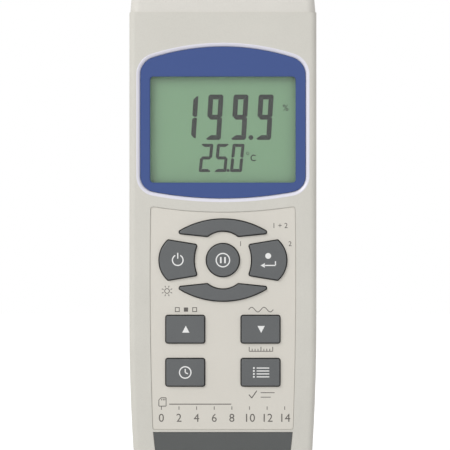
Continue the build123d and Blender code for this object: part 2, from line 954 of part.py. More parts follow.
def write_display():
    """Blue frame, clear lens, display glass with its holder, contact strips and backlight."""
    with BuildPart() as bezel:
        with BuildSketch(front_plane(bezel_floor)):
            add(display_outline(-seat_clearance))
            add(window_outline(), mode=Mode.SUBTRACT)
        extrude(amount=bezel_thickness)
        chamfer(bezel.faces().sort_by(Axis.Y)[0].inner_wires()[0].edges(), bezel_thickness / 4)
    write(bezel, "display_bezel")

    with BuildPart() as lens:
        with BuildSketch(front_plane(lens_rear)):
            add(window_outline(lens_margin - seat_clearance))
        extrude(amount=lens_thickness)
    write(lens, "display_lens")

    rear = glass_front + glass_thickness
    with BuildPart() as glass:
        with BuildSketch(front_plane(glass_front)):
            with Locations((0, window_middle)):
                Rectangle(glass_width, glass_height)
        extrude(amount=-glass_thickness / 2)
        with BuildSketch(front_plane(glass_front + glass_thickness / 2)):
            with Locations((0, window_middle)):
                Rectangle(glass_width, glass_height - 2 * glass_step)
        extrude(amount=-glass_thickness / 2)
    write(glass, "display_glass")

    frame_width = glass_width + 2 * (seat_clearance + frame_wall)
    frame_height = glass_height + 2 * (seat_clearance + frame_wall)
    with BuildPart() as holder:
        with BuildSketch(front_plane(board_y)):
            with Locations((0, window_middle)):
                Rectangle(frame_width, frame_height)
        extrude(amount=inner_face_y - board_y, dir=(0, 1, 0))
        with BuildSketch(front_plane(board_y)):
            with Locations((0, window_middle)):
                Rectangle(glass_width + 2 * seat_clearance, glass_height + 2 * seat_clearance)
        extrude(amount=board_y - glass_front, mode=Mode.SUBTRACT)
        with BuildSketch(front_plane(board_y)):
            add(window_outline(frame_window_margin))
        extrude(amount=face_depth, mode=Mode.SUBTRACT)
        chamfer(holder.edges().filter_by(Axis.Y).group_by(Axis.X)[0], frame_wall / 2)
        chamfer(holder.edges().filter_by(Axis.Y).group_by(Axis.X)[-1], frame_wall / 2)
    write(holder, "display_holder")

    with BuildPart() as strips:
        with BuildSketch(front_plane(board_y)):
            with Locations((0, window_middle)):
                with GridLocations(0, glass_height - glass_step, 1, 2):
                    Rectangle(glass_width - 2 * glass_step, strip_width)
        extrude(amount=board_y - glass_front - glass_thickness / 2)
    write(strips, "contact_strips")

    with BuildPart() as light:
        with BuildSketch(front_plane(board_y)):
            with Locations((0, window_middle)):
                Rectangle(
                    glass_width - 2 * backlight_margin, glass_height - 2 * glass_step - 2 * backlight_margin
                )
        extrude(amount=board_y - rear)
    write(light, "backlight")


def write_keys():
    """Nine keys, each with a flange behind the face and a plunger, and the mat behind them."""
    for label, (outline, middle, plunger, radius) in keys.items():
        with BuildPart() as key:
            with BuildSketch(front_plane(flange_front)):
                with Locations(middle):
                    add(outline(-key_gap))
            extrude(amount=flange_front - face_y + key_proud)
            fillet(key.faces().sort_by(Axis.Y)[0].edges(), key_edge_radius)
            with BuildSketch(front_plane(flange_rear)):
                with Locations(middle):
                    add(outline(key_flange))
            extrude(amount=key_flange_thickness)
            with BuildSketch(front_plane(plunger_end)):
                with Locations((middle[0] + plunger[0], middle[1] + plunger[1])):
                    Circle(radius)
            extrude(amount=plunger_end - flange_rear)
        write(key, label)

    with BuildPart() as mat:
        with BuildSketch(front_plane(board_y)):
            with Locations((0, (mat_top + mat_bottom) / 2)):
                RectangleRounded(mat_width, mat_top - mat_bottom, mat_corner)
        extrude(amount=mat_thickness)
        for _, middle, plunger, radius in keys.values():
            with BuildSketch(front_plane(mat_front)):
                with Locations((middle[0] + plunger[0], middle[1] + plunger[1])):
                    Circle(radius + dome_clearance + dome_wall)
            extrude(amount=dome_height)
        for _, middle, plunger, radius in keys.values():
            with BuildSketch(front_plane(board_y)):
                with Locations((middle[0] + plunger[0], middle[1] + plunger[1])):
                    Circle(radius + dome_clearance)
            extrude(amount=face_depth, mode=Mode.SUBTRACT)
    write(mat, "keypad_mat")


def write_boards():
    """Main board with its parts, the board screws, and the link board under the cap."""
    with BuildPart() as board:
        with BuildSketch(front_plane(board_back_y)):
            with Locations((0, (board_top + board_bottom) / 2)):
                RectangleRounded(board_width, board_top - board_bottom, board_corner)
            with Locations((case_width / 2, bay_middle)):
                Rectangle(
                    case_width - 2 * (bay_face - bay_face_wall - board_margin),
                    bay_height + 2 * (bay_end_wall + board_margin),
                    mode=Mode.SUBTRACT,
                )
            with Locations(*post_places):
                Circle(board_screw_radius + screw_clearance, mode=Mode.SUBTRACT)
        extrude(amount=board_thickness)
    write(board, "main_board")

    with BuildPart() as parts:
        for x, z, width, height, thick in chips:
            with BuildSketch(rear_plane(board_back_y)):
                with Locations((-x, z)):
                    Rectangle(width, height)
            extrude(amount=thick)
    write(parts, "board_chips")

    with BuildPart() as buzzer:
        with BuildSketch(rear_plane(board_back_y)):
            with Locations((-buzzer_x, buzzer_z)):
                Circle(buzzer_radius)
        extrude(amount=buzzer_height)
        with BuildSketch(rear_plane(board_back_y + buzzer_height)):
            with Locations((-buzzer_x, buzzer_z)):
                Circle(buzzer_radius / 6)
        extrude(amount=-buzzer_height / 2, mode=Mode.SUBTRACT)
    write(buzzer, "buzzer")

    with BuildPart() as link:
        with BuildSketch(Plane.XY.offset(link_board_top)):
            with Locations((0, link_board_middle)):
                Rectangle(link_board_width, link_board_depth)
            with Locations((0, header_pin_y)):
                with GridLocations(header_pitch, 0, header_pins, 1):
                    Circle(header_hole_radius, mode=Mode.SUBTRACT)
            with Locations(*[(x, socket_line) for x, _ in socket_places]):
                Circle(tail_pin_radius + socket_fit, mode=Mode.SUBTRACT)
        extrude(amount=-board_thickness)
    write(link, "link_board")

    with BuildPart() as header:
        with BuildSketch(rear_plane(board_back_y)):
            with Locations((0, header_top - header_body_height / 2)):
                Rectangle(header_pins * header_pitch, header_body_height)
        extrude(amount=header_body_depth)
        with BuildSketch(Plane.XY.offset(header_top)):
            with Locations((0, header_pin_y)):
                with GridLocations(header_pitch, 0, header_pins, 1):
                    Rectangle(header_pin_width, header_pin_width)
        extrude(amount=link_board_top - header_top + header_pin_width)
    write(header, "link_header")


def write_screws(label, places, seat, length, radius, head_radius, head_height):
    """Screws of one kind: heads on their seats, shanks pointing forward (towards the face)."""
    with BuildPart() as screws:
        with BuildSketch(rear_plane(seat)):
            with Locations(*places):
                Circle(head_radius)
        extrude(amount=head_height)
        with BuildSketch(rear_plane(seat)):
            with Locations(*places):
                Circle(radius)
        extrude(amount=-length)
        with BuildSketch(rear_plane(seat + head_height)):
            with Locations(*places):
                Rectangle(2 * head_radius, screw_slot_width)
        extrude(amount=-head_height * screw_slot_share, mode=Mode.SUBTRACT)
    write(screws, label)


def cap_plane(z, x):
    """Plane seen from above at one socket's axis."""
    return Plane(origin=(x, socket_line, z))


def write_socket_nut(label, x, radius):
    """The nut that holds one socket under the cap's roof."""
    with BuildPart() as nut:
        with BuildSketch(cap_plane(roof_underside, x)):
            RegularPolygon(radius + nut_rim, 6)
            Circle(radius + socket_fit, mode=Mode.SUBTRACT)
        extrude(amount=-nut_height)
    write(nut, label)


def write_coaxial_socket():
    """The coaxial probe socket: shell with two lugs, insulator, contact and nut."""
    mouth = case_length + coax_reach
    bed = mouth - coax_bore_depth
    with BuildPart() as shell:
        with BuildSketch(cap_plane(link_board_top, coax_x)):
            Circle(coax_thread_radius)
        extrude(amount=case_length - link_board_top)
        with BuildSketch(cap_plane(case_length, coax_x)):
            Circle(coax_flange_radius)
        extrude(amount=coax_flange_height)
        with BuildSketch(cap_plane(case_length, coax_x)):
            Circle(coax_radius)
        extrude(amount=coax_reach)
        chamfer(shell.faces().sort_by(Axis.Z)[-1].edges(), (coax_radius - coax_bore_radius) / 2)
        with Locations(Location((coax_x, socket_line, mouth - coax_lug_drop), (0, 90, 0))):
            Cylinder(coax_lug_radius, 2 * coax_lug_reach)
        with BuildSketch(cap_plane(mouth, coax_x)):
            Circle(coax_bore_radius)
        extrude(amount=-coax_bore_depth, mode=Mode.SUBTRACT)
        with BuildSketch(cap_plane(bed, coax_x)):
            Circle(coax_contact_radius + socket_fit)
        extrude(amount=-coax_bore_depth * 2, mode=Mode.SUBTRACT)
    write(shell, "coax_shell")

    with BuildPart() as core:
        with BuildSketch(cap_plane(bed, coax_x)):
            Circle(coax_core_radius)
            Circle(coax_contact_radius + socket_fit, mode=Mode.SUBTRACT)
        extrude(amount=coax_bore_depth - coax_core_drop)
    write(core, "coax_insulator")

    with BuildPart() as contact:
        with BuildSketch(cap_plane(link_board_top, coax_x)):
            Circle(coax_contact_radius)
        extrude(amount=mouth - coax_core_drop - coax_contact_radius - link_board_top)
        with BuildSketch(cap_plane(mouth - coax_core_drop - coax_contact_radius, coax_x)):
            Circle(coax_contact_bore_radius)
        extrude(amount=-coax_contact_bore_depth, mode=Mode.SUBTRACT)
        with BuildSketch(cap_plane(link_board_top, coax_x)):
            Circle(tail_pin_radius)
        extrude(amount=-tail_pin_reach)
    write(contact, "coax_contact")
    write_socket_nut("coax_nut", coax_x, coax_thread_radius)


def write_probe_socket():
    """The round five-pin probe socket with its keyway, pins and nut."""
    mouth = case_length + probe_reach
    bed = mouth - probe_bore_depth
    with BuildPart() as shell:
        with BuildSketch(cap_plane(link_board_top, probe_x)):
            Circle(probe_radius)
        extrude(amount=mouth - link_board_top)
        fillet(shell.faces().sort_by(Axis.Z)[-1].edges(), probe_lip_radius)
        with BuildSketch(cap_plane(case_length, probe_x)):
            Circle(probe_flange_radius)
        extrude(amount=probe_flange_height)
        with BuildSketch(cap_plane(bed, probe_x)):
            Circle(probe_bore_radius)
            with Locations((0, -probe_bore_radius)):
                Circle(probe_key_radius, mode=Mode.SUBTRACT)
        extrude(amount=probe_bore_depth, mode=Mode.SUBTRACT)
        with BuildSketch(cap_plane(mouth, probe_x)):
            Circle(probe_mouth_radius)
        extrude(amount=-probe_mouth_depth, mode=Mode.SUBTRACT)
        with BuildSketch(cap_plane(link_board_top, probe_x)):
            with PolarLocations(probe_pin_circle, probe_pin_count, 0, probe_pin_arc):
                Circle(probe_pin_radius + socket_fit)
            Circle(tail_pin_radius + socket_fit)
        extrude(amount=bed - link_board_top, mode=Mode.SUBTRACT)
    write(shell, "probe_socket")

    with BuildPart() as pins:
        with BuildSketch(cap_plane(link_board_top, probe_x)):
            with PolarLocations(probe_pin_circle, probe_pin_count, 0, probe_pin_arc):
                Circle(probe_pin_radius)
        extrude(amount=bed + probe_pin_stand - link_board_top)
        with BuildSketch(cap_plane(link_board_top - tail_pin_reach, probe_x)):
            Circle(tail_pin_radius)
        extrude(amount=bed - link_board_top + tail_pin_reach)
    write(pins, "probe_pins")
    write_socket_nut("probe_nut", probe_x, probe_radius)


def write_temperature_jack():
    """The small round jack for the temperature probe, and its nut."""
    with BuildPart() as jack:
        with BuildSketch(cap_plane(link_board_top, temp_x)):
            Circle(temp_radius)
        extrude(amount=case_length - link_board_top)
        with BuildSketch(cap_plane(case_length, temp_x)):
            Circle(temp_flange_radius)
        extrude(amount=temp_flange_height)
        fillet(jack.faces().sort_by(Axis.Z)[-1].edges(), temp_flange_height / 3)
        with BuildSketch(cap_plane(case_length + temp_flange_height, temp_x)):
            Circle(temp_bore_radius)
        extrude(amount=-temp_bore_depth, mode=Mode.SUBTRACT)
        with BuildSketch(cap_plane(link_board_top, temp_x)):
            Circle(tail_pin_radius)
        extrude(amount=-tail_pin_reach)
    write(jack, "temperature_jack")
    write_socket_nut("temperature_nut", temp_x, temp_radius)


def side_rectangle(y, z, depth, height):
    """A rectangle on the side plane."""
    with Locations((y, z)):
        Rectangle(depth, height)


def write_side_sockets():
    """The card socket with its card, the power jack with its pin, the data jack and the reset button."""
    inner_face = bay_face - bay_face_wall
    card_y = board_back_y + card_socket_height / 2
    with BuildPart() as holder:
        with BuildSketch(side_plane(inner_face - socket_setback)):
            side_rectangle(card_y, card_middle, card_socket_height, card_socket_width)
        extrude(amount=-card_socket_length)
        with BuildSketch(side_plane(inner_face)):
            side_rectangle(
                card_y, card_middle, card_thickness + 2 * card_clearance, card_width + 2 * card_clearance
            )
        extrude(amount=-card_socket_length - socket_setback + card_socket_sheet, mode=Mode.SUBTRACT)
    write(holder, "card_socket")

    with BuildPart() as card:
        card_edge = (bay_face + card_out, card_y, card_middle)
        with BuildSketch(Plane(origin=card_edge, x_dir=(-1, 0, 0), z_dir=(0, 1, 0))):
            with Locations((card_length / 2, 0)):
                Rectangle(card_length, card_width)
        extrude(amount=card_thickness / 2, both=True)
        corners = card.edges().filter_by(Axis.Y)
        chamfer(corners.group_by(Axis.X)[0].sort_by(Axis.Z)[-1], card_notch)
        fillet(card.edges().filter_by(Axis.Y).group_by(Axis.X)[-1], card_notch / 4)
    write(card, "memory_card")

    with BuildPart() as power:
        with BuildSketch(side_plane(inner_face - socket_setback)):
            side_rectangle(power_y, power_jack_height, power_jack_depth, power_jack_width)
        extrude(amount=-power_jack_length)
        with BuildSketch(side_plane(inner_face)):
            with Locations((power_y, power_jack_height)):
                Circle(power_bore_radius)
        extrude(amount=-power_bore_depth, mode=Mode.SUBTRACT)
    write(power, "power_jack")

    with BuildPart() as pin:
        with BuildSketch(side_plane(inner_face - power_bore_depth)):
            with Locations((power_y, power_jack_height)):
                Circle(power_pin_radius)
        extrude(amount=power_bore_depth - power_pin_drop)
        fillet(pin.faces().sort_by(Axis.X)[-1].edges(), power_pin_radius / 2)
    write(pin, "power_pin")

    with BuildPart() as data:
        with BuildSketch(side_plane(inner_face - socket_setback)):
            side_rectangle(data_y, data_jack_height, data_jack_depth, data_jack_width)
        extrude(amount=-data_jack_length)
        with BuildSketch(side_plane(inner_face - socket_setback)):
            with Locations((data_y, data_jack_height)):
                Circle(data_nose_radius)
        extrude(amount=socket_setback + bay_face_wall)
        with BuildSketch(side_plane(bay_face)):
            with Locations((data_y, data_jack_height)):
                Circle(data_bore_radius)
        extrude(amount=-data_bore_depth, mode=Mode.SUBTRACT)
    write(data, "data_jack")

    with BuildPart() as switch:
        with BuildSketch(side_plane(inner_face - reset_setback)):
            side_rectangle(reset_y, reset_height, reset_switch_depth, reset_switch_width)
        extrude(amount=-reset_switch_length)
        with BuildSketch(side_plane(inner_face - reset_setback)):
            with Locations((reset_y, reset_height)):
                Circle(reset_plunger_radius + reset_clearance)
        extrude(amount=-reset_socket_depth, mode=Mode.SUBTRACT)
    write(switch, "reset_switch")

    with BuildPart() as plunger:
        button_start = inner_face - reset_setback - reset_socket_depth + reset_travel + reset_clearance
        with BuildSketch(side_plane(button_start)):
            with Locations((reset_y, reset_height)):
                Circle(reset_plunger_radius)
        extrude(amount=reset_socket_depth - reset_travel - reset_clearance + reset_plunger_reach)
    write(plunger, "reset_button")


def write_port_door():
    """The door over the side sockets: the case's own skin with a round hinge edge and two pins."""
    low = bay_low + door_gap
    high = bay_high - door_gap
    front = -(bay_front - door_gap)
    with BuildPart() as door:
        with BuildSketch(Plane.XY.offset(low)):
            with BuildLine():
                Polyline(
                    (case_width, door_pivot_y),
                    (case_width, front),
                    (case_width / 2 - door_thickness, front),
                    (case_width / 2 - door_thickness, door_pivot_y),
                    close=True,
                )
            make_face()
            with Locations((door_pivot_x, door_pivot_y)):
                Circle(door_barrel)
        extrude(amount=high - low)
        add(outer_front, mode=Mode.INTERSECT)
        with Locations(Location((door_pivot_x, door_pivot_y, bay_middle))):
            Cylinder(door_pin_radius, bay_height + 2 * door_pin_bite)
        with Locations(Location((case_width / 2, front, bay_middle))):
            Cylinder(nail_notch_radius, nail_notch_width, mode=Mode.SUBTRACT)
    write(door, "port_door")


def write_battery_cover():
    """The cover over the cells, its two screws and the foam pad inside it."""
    middle = (cover_top + cover_bottom) / 2
    rib_height = cover_top - grip_rib_inset
    with BuildPart() as cover:
        add(cover_slab(cover_gap))
        add(outer_rear, mode=Mode.INTERSECT)
        with BuildSketch(rear_plane(back_y(rib_height) - grip_rib_height)):
            with Locations((0, rib_height - grip_rib_pitch * (grip_ribs - 1) / 2)):
                with GridLocations(0, grip_rib_pitch, 1, grip_ribs):
                    SlotOverall(grip_rib_width, grip_rib_pitch / 2)
        extrude(amount=back_depth, mode=Mode.SUBTRACT)
        with BuildSketch(rear_plane(cover_screw_seat)):
            with Locations(*cover_screw_places):
                Circle(cover_screw_head_radius + screw_clearance)
        extrude(amount=back_depth, mode=Mode.SUBTRACT)
        with BuildSketch(rear_plane(0)):
            with Locations(*cover_screw_places):
                Circle(cover_screw_radius + screw_clearance)
        extrude(amount=2 * back_depth, mode=Mode.SUBTRACT)
    write(cover, "battery_cover")

    with BuildPart() as pad:
        with BuildSketch(side_plane(0)):
            low = pad_bottom
            high = bay_top - cell_radius
            seat = cell_y + cell_radius + pad_gap
            with BuildLine():
                ThreePointArc(
                    (back_y(low, cover_thickness), low),
                    (back_y((low + high) / 2, cover_thickness), (low + high) / 2),
                    (back_y(high, cover_thickness), high),
                )
                Polyline(
                    (back_y(high, cover_thickness), high),
                    (seat, high),
                    (seat, low),
                    (back_y(low, cover_thickness), low),
                )
            make_face()
        extrude(amount=pad_half, both=True)
    write(pad, "foam_pad")


def write_cells():
    """Six cells across the bay in turn, with a spring at one end and a plate at the other."""
    heights = [bay_bottom + (i + 0.5) * cell_pitch for i in range(cell_count)]
    for i, z in enumerate(heights):
        side = 1 if i % 2 == 0 else -1
        tip = side * (bay_half - contact_thickness)
        with BuildPart() as cell:
            with BuildSketch(side_plane(tip - side * cell_nub_height, cell_y, z)):
                Circle(cell_radius)
            extrude(amount=-side * (cell_length - cell_nub_height))
            fillet(cell.edges().filter_by(GeomType.CIRCLE), cell_shoulder)
            with BuildSketch(side_plane(tip - side * cell_nub_height, cell_y, z)):
                Circle(cell_nub_radius)
            extrude(amount=side * cell_nub_height)
        write(cell, f"cell_{i + 1}")

    with BuildPart() as plates:
        for i, z in enumerate(heights):
            for side in (-1, 1):
                with BuildSketch(side_plane(side * bay_half, cell_y, z)):
                    Rectangle(contact_size, contact_size)
                extrude(amount=-side * contact_thickness)
    write(plates, "cell_contacts")

    free = 2 * bay_half - 2 * contact_thickness - cell_length - spring_wire
    lean = degrees(atan((spring_radius - spring_end_radius) / free))
    with BuildPart() as coil:
        with BuildLine() as path:
            Helix(free / spring_turns, free, spring_radius, cone_angle=-lean)
        with BuildSketch(Plane(origin=path.line @ 0, z_dir=path.line % 0)):
            RegularPolygon(spring_wire / 2, 6)
        sweep(path=path.line, is_frenet=True)
    with BuildPart() as springs:
        for i, z in enumerate(heights):
            side = -1 if i % 2 == 0 else 1
            foot = side * (bay_half - contact_thickness - spring_wire / 2)
            with Locations(Plane(origin=(foot, cell_y, z), x_dir=(0, 1, 0), z_dir=(-side, 0, 0)).location):
                add(coil.part)
    write(springs, "cell_springs")


def write_stand():
    """The folding stand with its window, its two pins, and the tripod nut inside the window."""
    face = stand_pivot_y + stand_pivot_depth
    window_height_middle = (stand_window_top + stand_window_bottom) / 2
    with BuildPart() as stand:
        with BuildSketch(rear_plane(face - stand_thickness)) as outline:
            with Locations((0, (stand_pivot_height + stand_foot) / 2)):
                Rectangle(2 * stand_half, stand_pivot_height - stand_foot)
            fillet(outline.vertices().group_by(Axis.Y)[0], stand_corner)
            with Locations((0, window_height_middle)):
                RectangleRounded(
                    2 * stand_window_half,
                    stand_window_top - stand_window_bottom,
                    stand_window_corner,
                    mode=Mode.SUBTRACT,
                )
        extrude(amount=stand_thickness)
        with Locations(Location((0, stand_pivot_y, stand_pivot_height), (0, 90, 0))):
            Cylinder(stand_barrel, 2 * stand_half)
            Cylinder(stand_pin_radius, case_width, mode=Mode.SUBTRACT)
    write(stand, "stand")

    with BuildPart() as pins:
        for side in (-1, 1):
            pin_end = side * (stand_half + stand_gap + stand_pin_bite - seat_clearance)
            with BuildSketch(side_plane(pin_end, stand_pivot_y, stand_pivot_height)):
                Circle(stand_pin_radius)
            extrude(amount=-side * stand_pin_length)
    write(pins, "stand_pins")

    with BuildPart() as nut:
        with BuildSketch(rear_plane(back_y(tripod_height) - tripod_set)):
            with Locations((0, tripod_height)):
                Circle(tripod_nut_radius)
                Circle(tripod_bore_radius, mode=Mode.SUBTRACT)
        extrude(amount=-tripod_nut_length)
    write(nut, "tripod_nut")


write_front_case()
write_rear_case()
write_top_cap()
write_keypad_panel()
write_name_plate()
write_display()
write_keys()
write_boards()
write_coaxial_socket()
write_probe_socket()
write_temperature_jack()
write_side_sockets()
write_port_door()
write_battery_cover()
write_cells()
write_stand()
write_screws(
    "case_screws", screw_places, case_screw_seat, case_screw_length,
    case_screw_radius, case_screw_head_radius, case_screw_head_height,
)
write_screws(
    "board_screws", post_places, board_back_y, board_screw_length,
    board_screw_radius, board_screw_head, board_screw_head_height,
)
write_screws(
    "cover_screws", cover_screw_places, cover_screw_seat, cover_screw_length,
    cover_screw_radius, cover_screw_head_radius, cover_screw_head_height,
)
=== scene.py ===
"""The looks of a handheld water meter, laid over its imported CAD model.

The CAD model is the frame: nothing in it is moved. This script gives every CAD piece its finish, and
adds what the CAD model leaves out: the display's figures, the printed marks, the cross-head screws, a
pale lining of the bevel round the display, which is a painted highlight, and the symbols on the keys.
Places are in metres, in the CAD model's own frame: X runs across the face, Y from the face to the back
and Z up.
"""

import math

import bmesh
import bpy
from bpy.props import FloatProperty, FloatVectorProperty, IntProperty, PointerProperty
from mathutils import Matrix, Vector


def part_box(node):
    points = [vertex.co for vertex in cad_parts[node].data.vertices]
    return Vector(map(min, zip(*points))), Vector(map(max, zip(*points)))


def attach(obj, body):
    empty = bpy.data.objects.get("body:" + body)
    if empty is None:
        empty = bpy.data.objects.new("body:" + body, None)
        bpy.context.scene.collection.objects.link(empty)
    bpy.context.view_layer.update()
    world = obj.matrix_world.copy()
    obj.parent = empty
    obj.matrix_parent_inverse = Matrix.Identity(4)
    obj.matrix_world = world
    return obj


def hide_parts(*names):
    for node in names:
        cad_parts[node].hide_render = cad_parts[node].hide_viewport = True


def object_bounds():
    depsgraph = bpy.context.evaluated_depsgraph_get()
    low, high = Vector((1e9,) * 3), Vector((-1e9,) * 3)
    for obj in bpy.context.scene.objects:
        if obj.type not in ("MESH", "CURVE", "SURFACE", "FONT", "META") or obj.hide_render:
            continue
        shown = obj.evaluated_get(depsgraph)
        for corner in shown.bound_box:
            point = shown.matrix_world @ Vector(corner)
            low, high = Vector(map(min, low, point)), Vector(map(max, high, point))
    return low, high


bl_info = {
    "name": "Handheld water meter",
    "version": (1, 0, 0),
    "blender": (4, 5, 0),
    "location": "3D View > Sidebar > Meter",
    "description": "Finishes, printed marks and small parts of a handheld water meter",
    "category": "Object",
}

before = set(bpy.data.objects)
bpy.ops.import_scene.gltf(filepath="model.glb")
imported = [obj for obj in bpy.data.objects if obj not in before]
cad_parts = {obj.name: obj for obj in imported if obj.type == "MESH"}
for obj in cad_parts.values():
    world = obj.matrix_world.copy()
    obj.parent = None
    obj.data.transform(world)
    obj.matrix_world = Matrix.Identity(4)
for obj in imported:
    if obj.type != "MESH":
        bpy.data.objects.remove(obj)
cad_low, cad_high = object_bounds()

MM = 0.001
INK_THICKNESS = 0.02 * MM
BODY = "case"
TURNED_CELLS = ("cell_2", "cell_4", "cell_6")

# Readings on the display: places across and up in millimetres, of the last figure's middle
LARGE_READING = (15.05, 128.1)
SMALL_READING = (5.15, 113.5)
DEGREE_PLACE = (8.9, 115.1)
CELSIUS_PLACE = (11.1, 113.5)
PERCENT_PLACE = (22.5, 131.6)
PERCENT_HEIGHT = 2.3 * MM
FIGURE_THICKNESS = 0.05 * MM
SMALL_SLANT_SHARE = 1.6

# The bevel round the display, as the CAD model has it
BEVEL_WIDTH = 1.1 * MM
BEVEL_DEPTH = 0.75 * MM
RIM_SKIN = 0.03 * MM
RIM_INNER_X = 27.5 * MM
RIM_TOP_BAND = 8.0 * MM
RIM_LOW_BAND = 4.5 * MM

# The keypad panel: numbers with their places and heights, and the card's line, in millimetres
PANEL_NUMBERS = (("1", 6.3, 82.8, 1.8), ("2", 24.0, 82.8, 1.8), ("1 + 2", 20.4, 89.3, 1.9))
CARD_LINE = ((-19.2, 25.4), (3.0, 25.4))
SCALE_START = -22.0
SCALE_ROW = 20.6
SCALE_TICK = (23.4, 24.6)
SCALE_COUNT = 8

# Screws, as the CAD model has them
SCREW_SHANK = 1.45 * MM
SCREW_HEADS = {"cover_screws": 1.2 * MM, "case_screws": 2.0 * MM}
THREAD_PITCH = 0.7 * MM
THREAD_ROOT_SHARE = 0.86

# The arrow on the battery cover
ARROW_DROP = 9.0 * MM
ARROW_SUNK = 0.35 * MM
ARROW_RISE = 1.2

# Lamps
KEY_LAMP_PLACE = (-0.85, -0.95, 0.95)
FILL_LAMP_PLACE = (0.9, -1.1, 0.35)
KEY_LAMP_SIZE = 0.7
FILL_LAMP_SIZE = 0.9
FLOOR_GLOW = 0.6


def box_middle(name):
    """Middle of a CAD node's box."""
    low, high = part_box(name)
    return (low + high) / 2


# Settings


def colour(name, description, default):
    """A colour setting, as linear red, green and blue."""
    return FloatVectorProperty(
        name=name, description=description, subtype="COLOR", size=3, min=0, max=1, default=default
    )


def length(name, description, default_mm):
    """A length setting, given in millimetres and kept in metres."""
    return FloatProperty(
        name=name, description=description, default=default_mm * MM, unit="LENGTH", precision=5, min=0
    )


class MeterFinishSettings(bpy.types.PropertyGroup):
    """Colours of the moulded and printed surfaces, and of the painted highlight on the display's rim."""

    case_colour: colour("Case", "Warm grey of the two case shells", (0.665, 0.648, 0.592))
    cap_colour: colour("Top cap", "Slightly lighter grey of the top cap", (0.716, 0.694, 0.644))
    panel_colour: colour("Keypad panel", "Film round the keys", (0.712, 0.682, 0.618))
    plate_colour: colour("Lower plate", "Dark film at the foot of the face", (0.094, 0.099, 0.098))
    key_colour: colour("Keys", "Dark grey keys", (0.122, 0.128, 0.131))
    frame_colour: colour("Display frame", "Blue frame round the display", (0.034, 0.072, 0.242))
    # The pale rim colour is a painted highlight: it stands in for the light that the bevel round the
    # display catches.
    rim_colour: colour("Display rim", "Pale rim outside the blue frame", (0.79, 0.78, 0.86))
    glass_colour: colour("Display", "Green-grey ground of the display", (0.262, 0.452, 0.268))
    figure_colour: colour("Display figures", "Driven segments of the display", (0.006, 0.009, 0.007))
    key_ink: colour("Key ink", "Marks on the keys", (0.86, 0.86, 0.85))
    panel_ink: colour("Panel ink", "Marks on the keypad panel", (0.135, 0.125, 0.115))


class MeterDisplaySettings(bpy.types.PropertyGroup):
    """Sizes of the display's figures."""

    large_height: length("Large height", "Height of the main reading", 16.26)
    large_width: length("Large width", "Width of one large figure, upright", 5.35)
    large_stroke: length("Large stroke", "Width of a large segment", 1.72)
    large_pitch: length("Large pitch", "From one large figure to the next", 9.0)
    small_height: length("Small height", "Height of the second reading", 10.1)
    small_width: length("Small width", "Width of one small figure, upright", 4.3)
    small_stroke: length("Small stroke", "Width of a small segment", 1.1)
    small_pitch: length("Small pitch", "From one small figure to the next", 5.6)
    segment_gap: length("Segment gap", "Gap between two segments", 0.16)
    slant: FloatProperty(
        name="Slant", description="Lean of the figures", default=math.radians(3.6), unit="ROTATION"
    )


class MeterMarkSettings(bpy.types.PropertyGroup):
    """Sizes of the printed marks."""

    key_line: length("Key line", "Width of a line in a key's mark", 0.42)
    panel_line: length("Panel line", "Width of a line in a panel mark", 0.26)
    scale_pitch: length("Scale pitch", "From one number of the scale to the next", 6.3)
    scale_height: length("Scale height", "Height of the scale's numbers", 3.0)
    scale_step: IntProperty(name="Scale step", description="Step between two numbers", default=2, min=1)


class MeterScrewSettings(bpy.types.PropertyGroup):
    """Sizes of the cross-head screws, beyond what the CAD model gives."""

    recess_width: length("Recess width", "Width of one arm of the cross", 0.62)
    recess_depth: length("Recess depth", "Depth of the cross", 0.75)
    recess_share: FloatProperty(
        name="Recess share", description="Cross span as a share of the head", default=0.6, min=0.1, max=0.9
    )
    dome_share: FloatProperty(
        name="Dome share", description="Rounded share of the head's height", default=0.35, min=0, max=1
    )
    turn_seed: IntProperty(name="Turn seed", description="Seed of each screw's turn", default=7, min=0)


class MeterStageSettings(bpy.types.PropertyGroup):
    """Camera, lamps and floor."""

    lens: FloatProperty(name="Lens", description="Focal length in millimetres", default=200.0, min=1)
    sensor: FloatProperty(name="Sensor", description="Sensor width in millimetres", default=36.0, min=1)
    framed: length("Framed width", "Width of the face that fills the picture", 160.8)
    look_x: length("Look across", "Where the camera looks, across the face", 0.75)
    look_z: length("Look up", "Height that the camera looks at", 89.44)
    world_level: FloatProperty(name="World level", description="Light from all round", default=0.50, min=0)
    key_power: FloatProperty(name="Key lamp", description="Power in watts", default=11.0, min=0)
    fill_power: FloatProperty(name="Fill lamp", description="Power in watts", default=2.0, min=0)
    floor_radius: length("Floor radius", "Radius of the floor", 1600.0)


class MeterSettings(bpy.types.PropertyGroup):
    """All the settings of the meter."""

    finish: PointerProperty(type=MeterFinishSettings)
    display: PointerProperty(type=MeterDisplaySettings)
    marks: PointerProperty(type=MeterMarkSettings)
    screws: PointerProperty(type=MeterScrewSettings)
    stage: PointerProperty(type=MeterStageSettings)


def settings():
    """The scene's settings for the meter."""
    return bpy.context.scene.meter_settings


# Node trees


def add_node(tree, kind, links=None, **options):
    """A node with its options set, its inputs set or linked by name or number."""
    made = tree.nodes.new(kind)
    for option, value in options.items():
        setattr(made, option, value)
    for key, value in (links or {}).items():
        if isinstance(value, bpy.types.NodeSocket):
            tree.links.new(value, made.inputs[key])
        else:
            made.inputs[key].default_value = value
    return made


def group_tree(name, inputs, outputs):
    """An empty shader node group with named sockets, and its input and output nodes."""
    tree = bpy.data.node_groups.new(name, "ShaderNodeTree")
    kinds = {"colour": "NodeSocketColor", "value": "NodeSocketFloat"}
    for socket_name, kind, default in inputs:
        socket = tree.interface.new_socket(socket_name, in_out="INPUT", socket_type=kinds[kind])
        socket.default_value = default
    for socket_name, kind in outputs:
        tree.interface.new_socket(socket_name, in_out="OUTPUT", socket_type=kinds[kind])
    return tree, tree.nodes.new("NodeGroupInput").outputs, tree.nodes.new("NodeGroupOutput").inputs


